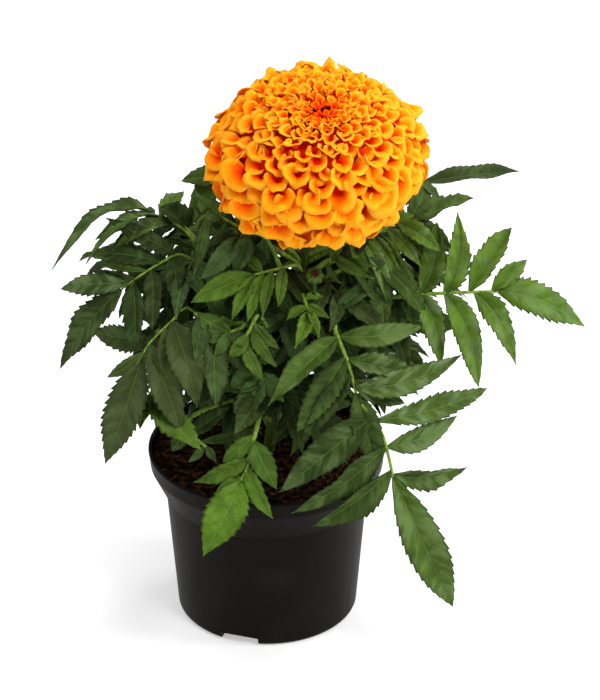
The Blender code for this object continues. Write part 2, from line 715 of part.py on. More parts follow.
def make_frond(frond, material, cutter, obstacles):
    """A frond: its rib and its leaflets joined in one piece, with every leaflet clear of the other nodes."""
    rib = frond_rib(frond)
    points, faces = tube(rib, RIB_SIDES)
    made = new_object(frond.name, mesh_from(frond.name, points, faces), material)
    blades = bpy.data.collections.new(frond.name + "_blades")
    bpy.context.scene.collection.children.link(blades)
    line = [point[:3] for point in rib]
    for share, angle, length, width in frond.leaflets:
        frame = frond_frame(line, frond.face, min(share, 0.985))
        for lift, turn, part in CLEAR_TRIALS:
            sheet, upward = leaflet_sheet(frame, angle + turn, length * part, width * part, lift)
            tree = padded_tree(sheet, upward, BLADE_THICKNESS / 2 + CLEARANCE)
            if is_clear(tree, frond.name, obstacles):
                break
        else:
            continue
        obstacles.append((frond.name, tree))
        blade = new_object("leaflet", mesh_from("leaflet", sheet, leaflet_faces(len(sheet))), None, blades)
        solid = blade.modifiers.new("Thickness", "SOLIDIFY")
        solid.thickness = MM * BLADE_THICKNESS
        solid.offset = 0.0
    boolean(made, "UNION", collection=blades, solver="MANIFOLD")
    remove_collection(blades)
    boolean(made, "DIFFERENCE", cutter, solver="MANIFOLD")
    keep_largest_shell(made)
    return made


def main():
    """Build every piece of the potted plant."""
    clear_scene()
    plastic = make_material("pot_plastic", (0.012, 0.011, 0.010), 0.42)
    earth = make_material("soil", (0.085, 0.032, 0.018), 0.95)
    stalk = make_material("stem_green", (0.10, 0.26, 0.03), 0.50)
    leaf = make_material("leaf_green", (0.045, 0.13, 0.015), 0.45)
    orange = make_material("petal_orange", (1.0, 0.26, 0.004), 0.60)
    pot = make_pot(plastic)
    soil = make_soil(earth)
    stem, cutter = make_stem(stalk)
    bloom = make_bloom(orange)
    calyx = make_calyx(stalk)
    bud = make_bud(stalk, cutter)
    solids = (pot, soil, bloom, calyx, bud)
    for item in (pot, calyx, bud, stem):
        shade_round(item)
    obstacles = [(item.name, object_tree(item)) for item in solids]
    for frond in FRONDS:
        points, faces = tube(frond_rib(frond), RIB_SIDES, CLEARANCE)
        obstacles.append((frond.name, BVHTree.FromPolygons(points, faces)))
    stem_points, stem_faces = tube(spline(main_stem_line(), 13), STEM_SIDES, CLEARANCE)
    obstacles.append(("stem", BVHTree.FromPolygons(stem_points, stem_faces)))
    for branch in (LEFT_BRANCH, RIGHT_BRANCH, BACK_BRANCH):
        points, faces = tube(spline(branch, 9), BRANCH_SIDES, CLEARANCE)
        obstacles.append(("stem", BVHTree.FromPolygons(points, faces)))
    for frond in FRONDS:
        make_frond(frond, leaf, cutter, obstacles)
    bpy.data.objects.remove(cutter, do_unlink=True)


main()
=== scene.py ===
"""Potted African marigold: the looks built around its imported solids.

One double bloom stands over toothed pinnate leaves in a dark nursery pot. Sizes are in millimetres
until a mesh is made, in the same frame as the solids: the pot's foot is at the origin, +Z is up and
the viewer of the photographed side looks along +Y.
"""

from __future__ import annotations

import logging
import math
import random
from collections.abc import Iterable
from dataclasses import dataclass, field, replace
from enum import Enum
from typing import NamedTuple

import bmesh
import bpy
from bmesh.types import BMEdge, BMesh, BMFace, BMLayerItem, BMVert
from bpy.types import Camera, ColorRamp, Light, Material, NodeSocket, NodeTree, Object
from mathutils import Matrix, Vector, noise


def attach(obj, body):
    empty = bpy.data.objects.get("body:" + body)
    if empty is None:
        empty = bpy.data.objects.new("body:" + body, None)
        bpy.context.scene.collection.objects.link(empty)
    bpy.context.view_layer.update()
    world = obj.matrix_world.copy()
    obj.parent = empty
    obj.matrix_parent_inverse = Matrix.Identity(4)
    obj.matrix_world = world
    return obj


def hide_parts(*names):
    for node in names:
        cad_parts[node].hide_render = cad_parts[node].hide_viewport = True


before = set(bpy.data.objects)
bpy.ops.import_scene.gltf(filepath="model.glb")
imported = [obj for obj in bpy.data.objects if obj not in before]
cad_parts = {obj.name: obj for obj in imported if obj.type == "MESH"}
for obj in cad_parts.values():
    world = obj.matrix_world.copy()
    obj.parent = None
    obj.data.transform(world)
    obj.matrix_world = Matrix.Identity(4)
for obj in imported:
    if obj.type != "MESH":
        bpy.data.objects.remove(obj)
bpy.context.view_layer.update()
MM = 0.001
GOLDEN_ANGLE = math.pi * (3.0 - math.sqrt(5.0))
NOISE_SEED = 7
LOG = logging.getLogger("marigold")

Point = tuple[float, float, float]
Colour = tuple[float, float, float]
Stops = tuple[tuple[float, Colour], ...]
Line = tuple[tuple[float, float, float, float], ...]


class Value:
    """A number or colour in a material's node tree that Python's operators work on."""

    def __init__(self, tree: NodeTree, socket: NodeSocket) -> None:
        """Wrap one output socket."""
        self.tree = tree
        self.socket = socket

    def math(self, operation: str, first: Value | float, second: Value | float = 0.0) -> Value:
        """Add a clamp-free Math node.

        Args:
            operation: The node's operation.
            first: Its first value.
            second: Its second value.

        Returns:
            The result.
        """
        made = self.tree.nodes.new("ShaderNodeMath")
        made.operation = operation
        for slot, value in zip(made.inputs, (first, second)):
            if isinstance(value, Value):
                self.tree.links.new(value.socket, slot)
            else:
                slot.default_value = value
        return Value(self.tree, made.outputs[0])

    def output(self, name: str) -> Value:
        """Another output of the same node."""
        return Value(self.tree, self.socket.node.outputs[name])

    def fraction(self) -> Value:
        """The part after the point."""
        return self.math("FRACT", self)

    def __add__(self, other: Value | float) -> Value:
        """Sum."""
        return self.math("ADD", self, other)

    def __sub__(self, other: Value | float) -> Value:
        """Difference."""
        return self.math("SUBTRACT", self, other)

    def __rsub__(self, other: float) -> Value:
        """Difference, from a number."""
        return self.math("SUBTRACT", other, self)

    def __mul__(self, other: Value | float) -> Value:
        """Product."""
        return self.math("MULTIPLY", self, other)

    def __pow__(self, other: Value | float) -> Value:
        """Power."""
        return self.math("POWER", self, other)

    def __abs__(self) -> Value:
        """Size without sign."""
        return self.math("ABSOLUTE", self)


class Paint:
    """One material, built node by node."""

    def __init__(self, name: str) -> None:
        """Start an empty material with a Principled shader.

        Args:
            name: The material's name.
        """
        self.material = bpy.data.materials.new(name)
        self.material.use_nodes = True
        self.tree = self.material.node_tree
        self.shader = self.tree.nodes["Principled BSDF"]

    def node(
        self, kind: str, settings: dict | None = None, sockets: dict | None = None, out: int | str = 0,
    ) -> Value:
        """Add any node.

        Args:
            kind: The node's type, without its leading words.
            settings: Its properties, which are set first.
            sockets: Values or links of its inputs, by name or number.
            out: The output that is wanted.

        Returns:
            That output.
        """
        made = self.tree.nodes.new("ShaderNode" + kind)
        for key, value in (settings or {}).items():
            if key == "stops":
                self.set_stops(made.color_ramp, value)
            else:
                setattr(made, key, value)
        for key, value in (sockets or {}).items():
            self.feed(made.inputs[key], value)
        return Value(self.tree, made.outputs[out])

    @staticmethod
    def set_stops(ramp: ColorRamp, stops: Stops) -> None:
        """Set a ramp's places and colours.

        Args:
            ramp: The ramp of a new node.
            stops: Its places in order, each with its colour.
        """
        while len(ramp.elements) < len(stops):
            ramp.elements.new(0.5)
        for element, (place, colour) in zip(ramp.elements, stops):
            element.position = place
            element.color = (*colour, 1.0)

    def feed(self, socket: NodeSocket, value: Value | float | tuple) -> None:
        """Give a socket a link or a constant.

        Args:
            socket: The input socket.
            value: What it takes. A colour may leave out its alpha.
        """
        if isinstance(value, Value):
            self.tree.links.new(value.socket, socket)
        elif isinstance(value, tuple) and len(value) == 3 and socket.type == "RGBA":
            socket.default_value = (*value, 1.0)
        else:
            socket.default_value = value

    def set(self, **values: Value | float | tuple) -> None:
        """Feed the Principled shader's sockets, with _ for a space in their names."""
        for key, value in values.items():
            self.feed(self.shader.inputs[key.replace("_", " ")], value)

    def noise(self, scale: float, detail: float = 3.0, vector: Value | None = None) -> Value:
        """Fractal noise from 0 to 1, over the object's own coordinates unless others are given."""
        place = vector or self.node("TexCoord", out="Object")
        return self.node("TexNoise", sockets={"Vector": place, "Scale": scale, "Detail": detail})

    def upright_streaks(self, across: float, along: float, detail: float) -> Value:
        """Make noise that is drawn out along Z.

        Args:
            across: Its scale across Z.
            along: Its scale along Z.
            detail: How many octaves it has.

        Returns:
            The noise, from 0 to 1.
        """
        place = self.node("TexCoord", out="Object")
        stretched = self.node("Mapping", None, {"Vector": place, "Scale": (across, across, along)})
        return self.noise(1.0, detail, stretched)

    def mix(self, share: Value | float, first: Value | tuple, second: Value | tuple) -> Value:
        """Mix two colours."""
        return self.node("Mix", {"data_type": "RGBA"}, {0: share, 6: first, 7: second}, 2)

    def ramp(self, stops: Stops, share: Value) -> Value:
        """The colour at a share of a ramp."""
        return self.node("ValToRGB", {"stops": stops}, {"Fac": share})

    def soft_step(self, value: Value, low: float, high: float) -> Value:
        """Run smoothly from 0 at low to 1 at high."""
        limits = {"Value": value, "From Min": low, "From Max": high}
        return self.node("MapRange", {"interpolation_type": "SMOOTHSTEP"}, limits)

    def bump(self, height: Value, strength: float, distance: float) -> None:
        """Feed the normal from a height map, in metres at full strength."""
        sockets = {"Strength": strength, "Distance": distance, "Height": height}
        self.set(Normal=self.node("Bump", None, sockets))


@dataclass(frozen=True)
class LeafFinish:
    """Leaf green with a paler midrib, faint side veins, dark tooth tips, a waxy coat, a broken painted sheen
    and painted shade in the midrib's groove.

    The mesh carries a UV map in centimetres across and along the blade, and an attribute with the share
    across, the leaflet's tone, its wax with its painted sheen and its hue.
    """

    name: str
    painted_deep_shade: Colour
    old: Colour
    young: Colour
    vein: Colour
    edge: Colour
    olive: Colour
    cool: Colour
    painted_sheen: Colour
    roughness: float = 0.40
    relief: float = 0.9
    gloss: float = 0.03
    coat: float = 0.5

    def make(self) -> Material:
        """Build the material.

        Returns:
            The finished material.
        """
        paint = Paint(self.name)
        side = paint.node("SeparateXYZ", None, {0: paint.node("UVMap", {"uv_map": "blade"})})
        across = abs(side)
        marks = paint.node("Attribute", {"attribute_name": "blade_marks"})
        hue = marks.output("Alpha")
        edge = paint.node("SeparateColor", None, {0: marks})
        tone = edge.output("Green")
        wax_and_painted_sheen = edge.output("Blue")
        rib = 1.0 - paint.soft_step(across + side.output("Y") * 0.003, 0.018, 0.055)
        phase = (side.output("Y") - across * 0.9) * 2.3 + paint.noise(60.0, 2.0) * 0.35
        vein = paint.soft_step(abs(phase.fraction() - 0.5) * 2.0, 0.60, 1.0) * (1.0 - edge ** 3.0)
        mottle = paint.noise(45.0, 5.0)
        blotch = paint.noise(170.0, 4.0)
        place = {0: phase * 0.9, 1: side * 1.1, 2: tone * 37.0}
        pucker_and_painted_light = paint.noise(1.0, 3.0, paint.node("CombineXYZ", None, place))
        # Tone 0 is painted deep shade, for the leaves inside the foliage.
        stops = ((0.0, self.painted_deep_shade), (0.35, self.old), (1.0, self.young))
        # The puckers' tops are painted lighter and their hollows darker, as their light and shade.
        green = paint.ramp(stops, tone + (mottle - 0.5) * 0.5 + (pucker_and_painted_light - 0.5) * 0.9)
        green = paint.mix((1.0 - paint.soft_step(hue, 0.0, 0.5)) * 0.6, green, self.olive)
        green = paint.mix(paint.soft_step(hue, 0.5, 1.0) * 0.6, green, self.cool)
        green = paint.mix(paint.soft_step(blotch, 0.42, 0.72) * 0.45, green, self.edge)
        # Painted sheen: pale patches in the base colour on the puckers' tops, stronger where there is more
        # wax.
        shine = paint.soft_step(pucker_and_painted_light * 0.6 + mottle * 0.4, 0.46, 0.60)
        green = paint.mix((wax_and_painted_sheen * 0.88 + 0.12) * shine * 0.72, green, self.painted_sheen)
        # Painted shade in the groove along the midrib.
        green = paint.mix((1.0 - paint.soft_step(across, 0.05, 0.18)) * 0.12, green, self.edge)
        green = paint.mix(vein * 0.055, green, self.vein)
        green = paint.mix(paint.soft_step(edge, 0.86, 0.98) * 0.75, green, self.edge)
        green = paint.mix(rib * (tone * 0.60 + 0.25), green, self.vein)
        sheen = (wax_and_painted_sheen * 0.9 + 0.1) * paint.soft_step(blotch, 0.30, 0.62)
        paint.set(
            Base_Color=green, Roughness=mottle * 0.22 + (self.roughness - 0.11),
            Specular_IOR_Level=self.gloss, Coat_Weight=sheen * self.coat, Coat_Roughness=0.26,
        )
        height = vein * -0.12 + rib * -0.10 + pucker_and_painted_light * 1.3 + paint.noise(150.0, 3.0) * 0.8 + blotch * 0.4
        paint.bump(height, self.relief, 0.0018)
        return paint.material


@dataclass(frozen=True)
class PetalFinish:
    """Orange petals: red throats painted nearly black at the bottom as shade, a clear orange limb and a
    yellower rim.

    The mesh carries an attribute with the share from throat to rim, lowered near the head's eye as painted
    shade, the floret's tone and the place around it.
    """

    name: str = "petal"
    # The two darkest stops paint the shade at the bottom of the throats and in the head's eye.
    stops: Stops = (
        (0.00, (0.020, 0.003, 0.001)),
        (0.08, (0.090, 0.006, 0.001)),
        (0.20, (0.660, 0.016, 0.001)),
        (0.34, (0.970, 0.036, 0.001)),
        (0.52, (0.990, 0.125, 0.001)),
        (0.72, (0.995, 0.280, 0.002)),
        (0.90, (1.000, 0.430, 0.014)),
        (1.00, (0.990, 0.390, 0.024)),
    )

    def make(self) -> Material:
        """Build the material.

        Returns:
            The finished material.
        """
        paint = Paint(self.name)
        marks = {0: paint.node("Attribute", {"attribute_name": "petal_marks"})}
        outward = paint.node("SeparateColor", None, marks)
        tone = outward.output("Green")
        around = outward.output("Blue")
        place = {0: around * 26.0, 1: outward * 2.0, 2: tone * 40.0}
        streak = paint.noise(1.0, 2.0, paint.node("CombineXYZ", None, place))
        share = outward + (tone - 0.5) * 0.18 + (streak - 0.5) * 0.20
        paint.set(
            Base_Color=paint.ramp(self.stops, share), Roughness=0.62, Specular_IOR_Level=0.03,
            Subsurface_Weight=0.35, Subsurface_Radius=(0.006, 0.0012, 0.0002),
        )
        paint.bump(streak, 0.3, 0.0005)
        return paint.material


@dataclass(frozen=True)
class PotFinish:
    """Near-black moulded plastic with a satin skin, fine upright flow lines and a few dull patches."""

    name: str = "pot_plastic"
    colour: Colour = (0.0052, 0.0044, 0.0036)
    worn: Colour = (0.0115, 0.0100, 0.0082)

    def make(self) -> Material:
        """Build the material.

        Returns:
            The finished material.
        """
        paint = Paint(self.name)
        flow = paint.upright_streaks(230.0, 9.0, 4.0)
        patches = paint.noise(38.0, 5.0)
        grain = paint.noise(1400.0, 2.0)
        paint.set(
            Base_Color=paint.mix(paint.soft_step(patches, 0.45, 0.75) * 0.6, self.colour, self.worn),
            Roughness=patches * 0.20 + flow * 0.14 + 0.30,
            Specular_IOR_Level=0.048, Specular_Tint=(1.0, 0.94, 0.86, 1.0),
        )
        paint.bump(flow * 0.5 + grain * 0.25, 0.16, 0.0004)
        return paint.material


@dataclass(frozen=True)
class SoilFinish:
    """Moist peaty soil: dark crumbs, redder fibres and black gaps."""

    name: str = "soil"
    # The stops are dark partly as the peat's own colour and partly as painted shade from the leaves over the
    # soil.
    stops: Stops = (
        (0.38, (0.001, 0.001, 0.001)),
        (0.50, (0.010, 0.005, 0.002)),
        (0.62, (0.060, 0.024, 0.010)),
        (0.76, (0.260, 0.110, 0.042)),
    )

    def make(self) -> Material:
        """Build the material.

        Returns:
            The finished material.
        """
        paint = Paint(self.name)
        crumbs = paint.noise(300.0, 7.0)
        colour = paint.ramp(self.stops, crumbs * 0.75 + paint.noise(1500.0, 3.0) * 0.3)
        paint.set(Base_Color=colour, Roughness=0.92, Specular_IOR_Level=0.03)
        paint.bump(crumbs, 0.9, 0.0030)
        return paint.material


@dataclass(frozen=True)
class BudFinish:
    """Green bud whose open tip shows the folded petals in brownish red.

    The mesh carries an attribute with the share from the bud's foot to its tip.
    """

    name: str = "bud"
    low: float = 0.89
    high: float = 0.95
    green: Colour = (0.030, 0.066, 0.008)
    light: Colour = (0.070, 0.130, 0.016)
    red: Colour = (0.036, 0.011, 0.005)

    def make(self) -> Material:
        """Build the material.

        Returns:
            The finished material.
        """
        paint = Paint(self.name)
        marks = paint.node("Attribute", {"attribute_name": "bud_marks"})
        grain = paint.noise(700.0, 3.0)
        share = paint.node("SeparateColor", None, {0: marks}) + (grain - 0.5) * 0.10
        green = paint.mix(paint.soft_step(share, 0.5, 0.85), self.green, self.light)
        colour = paint.mix(paint.soft_step(share, self.low, self.high), green, self.red)
        paint.set(Base_Color=colour, Roughness=0.6, Specular_IOR_Level=0.1)
        paint.bump(grain, 0.5, 0.0006)
        return paint.material


@dataclass(frozen=True)
class StalkFinish:
    """Fresh green stalk with fine lengthwise streaks and a redder tint where it is older."""

    name: str
    colour: Colour
    light: Colour
    tint: Colour = (0.16, 0.10, 0.03)

    def make(self) -> Material:
        """Build the material.

        Returns:
            The finished material.
        """
        paint = Paint(self.name)
        streak = paint.upright_streaks(900.0, 60.0, 3.0)
        broad = paint.noise(35.0, 2.0)
        green = paint.mix(paint.soft_step(streak, 0.35, 0.70), self.colour, self.light)
        green = paint.mix(paint.soft_step(broad, 0.55, 0.85) * 0.4, green, self.tint)
        paint.set(Base_Color=green, Roughness=0.48, Specular_IOR_Level=0.20)
        paint.bump(streak, 0.35, 0.0004)
        return paint.material


def finish_mesh(name: str, work: BMesh, materials: Iterable[Material]) -> Object:
    """Turn a bmesh in millimetres into a smooth-shaded object at the origin, in metres.

    Args:
        name: The object's name.
        work: The bmesh, which is freed.
        materials: Its materials, by face index.

    Returns:
        The object.
    """
    bmesh.ops.scale(work, vec=(MM, MM, MM), verts=work.verts[:])
    mesh = bpy.data.meshes.new(name)
    work.to_mesh(mesh)
    work.free()
    mesh.shade_smooth()
    for material in materials:
        mesh.materials.append(material)
    made = bpy.data.objects.new(name, mesh)
    bpy.context.scene.collection.objects.link(made)
    return made


def apply_modifiers(item: Object) -> None:
    """Replace an object's mesh by what its modifiers make of it.

    Args:
        item: The object, which loses its modifiers.
    """
    graph = bpy.context.evaluated_depsgraph_get()
    mesh = bpy.data.meshes.new_from_object(item.evaluated_get(graph))
    item.modifiers.clear()
    item.data = mesh


def write_marks(layer: BMLayerItem, marks: dict[BMVert, tuple[float, ...]]) -> None:
    """Give the corners of every face around some vertices their marks.

    Args:
        layer: The colour layer that holds the marks.
        marks: Each vertex with its four values.
    """
    for face in {face for vertex in marks for face in vertex.link_faces}:
        for loop in face.loops:
            loop[layer] = marks[loop.vert]


def lathe(work: BMesh, outline: Iterable[tuple[float, float]], steps: int) -> None:
    """Turn an outline about Z into a closed shell.

    Args:
        work: An empty bmesh.
        outline: Points as (radius, height), which start and end on the axis.
        steps: Faces around it.
    """
    rows = [work.verts.new((radius, 0.0, height)) for radius, height in outline]
    edges = [work.edges.new(pair) for pair in zip(rows, rows[1:])]
    bmesh.ops.spin(
        work, geom=rows + edges, cent=(0, 0, 0), axis=(0, 0, 1), angle=math.tau, steps=steps, use_merge=True,
    )
    bmesh.ops.remove_doubles(work, verts=work.verts[:], dist=0.001)
    bmesh.ops.recalc_face_normals(work, faces=work.faces[:])


def spline(points: Iterable[tuple[float, ...]], count: int) -> list[tuple[float, ...]]:
    """Evenly counted points on a smooth line through the given ones.

    Args:
        points: The given points, with any extra values, such as a radius.
        count: How many points to return.

    Returns:
        The line's points, with the extra values carried along.
    """
    rows = [tuple(map(float, point)) for point in points]
    made = []
    for step in range(count):
        place = step / (count - 1) * (len(rows) - 1)
        at = min(int(place), len(rows) - 2)
        t = place - at
        near = (rows[max(at - 1, 0)], rows[at], rows[at + 1], rows[min(at + 2, len(rows) - 1)])
        made.append(tuple(
            0.5 * (
                2 * b + (c - a) * t + (2 * a - 5 * b + 4 * c - d) * t * t
                + (3 * b - a - 3 * c + d) * t ** 3
            )
            for a, b, c, d in zip(*near)
        ))
    return made


def sweep(work: BMesh, line: list[tuple[float, ...]], sides: int, ridge: float = 0.0) -> list[BMFace]:
    """Add a round tube to a bmesh by extruding a ring along a line of (x, y, z, radius).

    Args:
        work: The bmesh.
        line: The line's points with their radii.
        sides: Corners of the ring.
        ridge: Share of the radius by which every other corner stands out.

    Returns:
        The tube's faces.
    """
    count = len(work.faces)
    frames = []
    aside = None
    for index, (x, y, z, radius) in enumerate(line):
        before = Vector(line[max(index - 1, 0)][:3])
        after = Vector(line[min(index + 1, len(line) - 1)][:3])
        along = (after - before).normalized()
        aside = along.orthogonal() if aside is None else aside - aside.dot(along) * along
        aside.normalize()
        turn = Matrix((aside, along.cross(aside), along)).transposed().to_4x4()
        frames.append(Matrix.Translation((x, y, z)) @ turn @ Matrix.Diagonal((radius, radius, 1.0, 1.0)))
    ring = bmesh.ops.create_circle(work, segments=sides, radius=1.0, cap_ends=False)["verts"]
    for vertex in ring[::2]:
        vertex.co *= 1.0 + ridge
    edges = start = list(dict.fromkeys(edge for vertex in ring for edge in vertex.link_edges))
    bmesh.ops.transform(work, matrix=frames[0], verts=ring)
    for before, after in zip(frames, frames[1:]):
        grown = bmesh.ops.extrude_edge_only(work, edges=edges)["geom"]
        ring = [part for part in grown if isinstance(part, BMVert)]
        corners = set(ring)
        edges = [part for part in grown if isinstance(part, BMEdge) and corners.issuperset(part.verts)]
        bmesh.ops.transform(work, matrix=after @ before.inverted(), verts=ring)
    for end in (start, edges):
        bmesh.ops.contextual_create(work, geom=end)
    work.faces.ensure_lookup_table()
    tube = work.faces[count:]
    bmesh.ops.recalc_face_normals(work, faces=tube)
    return tube


def swing(chance: random.Random, most: float) -> float:
    """A random number of either sign, up to a size."""
    return chance.uniform(-most, most)


def clamp(share: float) -> float:
    """A share kept between 0 and 1."""
    return min(1.0, max(0.0, share))


@dataclass
class Leaflet:
    """One toothed leaflet, bent from a flat grid.

    Its shares across the blade run from -1 at one edge to 1 at the other, and its shares along from
    0 at the foot to 1 at the tip.
    """

    length: float
    width: float
    tone: float
    teeth: int
    bow: float
    fold: float
    twist: float
    ripple: float
    phase: float
    droop: float
    sweep: float
    serration: float
    point: float
    hue: float
    wax_and_painted_sheen: float
    stations: tuple[float, ...]

    FIRST_TOOTH = 0.12
    LAST_TOOTH = 0.94
    TOOTH_SLOPE = 0.93
    NOTCH = 0.90
    TOOTH = 1.07
    GROOVE = 0.16
    BELLY = 0.85
    FOOT_WIDTH = 0.42
    TIP_WIDTH = 0.04
    WAVES = 12.0
    WAVE_LAG = 1.7
    MM_PER_CM = 10.0

    def rows(self) -> list[tuple[float, float]]:
        """Place the grid's rows, two to a tooth.

        Returns:
            Each row as (share along, factor on the width at the edge).
        """
        rows = [(0.0, 1.0), (0.04, 1.0)]
        step = (self.LAST_TOOTH - self.FIRST_TOOTH) / self.teeth
        for tooth in range(self.teeth):
            start = self.FIRST_TOOTH + tooth * step
            rows += [(start, self.NOTCH), (start + self.TOOTH_SLOPE * step, self.TOOTH)]
        return rows + [(self.LAST_TOOTH + 0.008, 0.85), (1.0, 1.0)]

    def half_width(self, along: float) -> float:
        """Work out half the blade's width, which stays above that of a narrow foot and a blunt tip.

        Args:
            along: The share along the blade.

        Returns:
            Half the width in millimetres, without teeth.
        """
        widest = self.BELLY / (self.BELLY + self.point)
        most = widest ** self.BELLY * (1.0 - widest) ** self.point
        blade = along ** self.BELLY * max(1.0 - along, 0.0) ** self.point / most
        return max(0.5 * self.width * blade, self.FOOT_WIDTH * (1.0 - along) + self.TIP_WIDTH)

    def add(self, work: BMesh, place: Matrix) -> None:
        """Add the leaflet to a bmesh.

        Args:
            work: The bmesh, with a UV layer and a marks layer.
            place: Base of the leaflet, with X along it, Y across it and Z up from its face.
        """
        rows = self.rows()
        columns = len(self.stations) - 1
        grid = bmesh.ops.create_grid(work, x_segments=columns, y_segments=len(rows) - 1, size=0.5)["verts"]
        marks, flat = {}, {}
        for vertex in grid:
            across = self.stations[round((vertex.co.x + 0.5) * columns)]
            along, edge = rows[round((vertex.co.y + 0.5) * (len(rows) - 1))]
            side = across * self.half_width(along)
            side *= 1.0 + (edge - 1.0) * self.serration if abs(across) > 0.99 else 1.0
            lag = self.WAVE_LAG if across > 0 else 0.0
            wave = self.ripple * math.sin(self.phase + along * self.WAVES + lag)
            rise = math.tan(self.fold) * abs(side) + wave * across * across * self.half_width(along)
            rise -= self.GROOVE * (1.0 - along) if across == 0.0 else 0.0
            turn = self.twist * along
            aside = self.sweep * self.length * along * along
            arch = self.length * (4.0 * self.bow * along * (1.0 - along) - self.droop * along * along)
            vertex.co = Vector((
                along * self.length,
                aside + side * math.cos(turn) - rise * math.sin(turn),
                arch + side * math.sin(turn) + rise * math.cos(turn),
            ))
            marks[vertex] = (abs(across), self.tone, self.wax_and_painted_sheen, self.hue)
            flat[vertex] = (side / self.MM_PER_CM, along * self.length / self.MM_PER_CM)
        write_marks(work.loops.layers.float_color["blade_marks"], marks)
        uv_layer = work.loops.layers.uv["blade"]
        for loop in {loop for vertex in grid for loop in vertex.link_loops}:
            loop[uv_layer].uv = flat[loop.vert]
        bmesh.ops.transform(work, matrix=place, verts=grid)


class Detail(Enum):
    """How finely a frond's blades are cut: share stations across, millimetres to a tooth."""

    FINE = ((-1.0, -0.55, -0.09, 0.0, 0.09, 0.55, 1.0), 4.6)
    COARSE = ((-1.0, -0.5, 0.0, 0.5, 1.0), 6.5)


class Plan(NamedTuple):
    """One leaflet: its place on the rib and angle to it, its size, and how it hangs, greens and bends.

    The droop of its tip and its sideways bend are shares of its length. The sixth value is added to the
    tone, partly as the leaflet's own green and partly as painted light and shade, and the last is its wax
    with its painted sheen.
    """

    share: float
    angle: float
    length: float
    width: float
    droop: float = 0.10
    tone_and_painted_light: float = 0.0
    bend: float = 0.12
    wax_and_painted_sheen: float = 0.0


def paired(
    count: int, length: float, width: float, first: float = 0.42, spread: float = 66.0,
) -> tuple[tuple[float, ...], ...]:
    """Lay out leaflets in pairs, with one at the rib's end.

    Args:
        count: How many pairs.
        length: Length of the longest leaflets.
        width: Width of the widest but one.
        first: Share of the rib at the first pair.
        spread: Angle of the first pair to the rib, in degrees.

    Returns:
        Each leaflet as (share of the rib, angle, length, width).
    """
    leaflets = []
    for index in range(count):
        along = index / max(count - 1, 1)
        share = first + (0.94 - first) * along
        size = length * (0.72 + 0.28 * math.sin(math.pi * (0.25 + 0.6 * along)))
        for side in (1, -1):
            leaflets.append((share - 0.02 * side, side * (spread - 22.0 * along), size, width * 0.9))
    leaflets.append((1.0, 3.0, length * 1.12, width * 1.1))
    return tuple(leaflets)


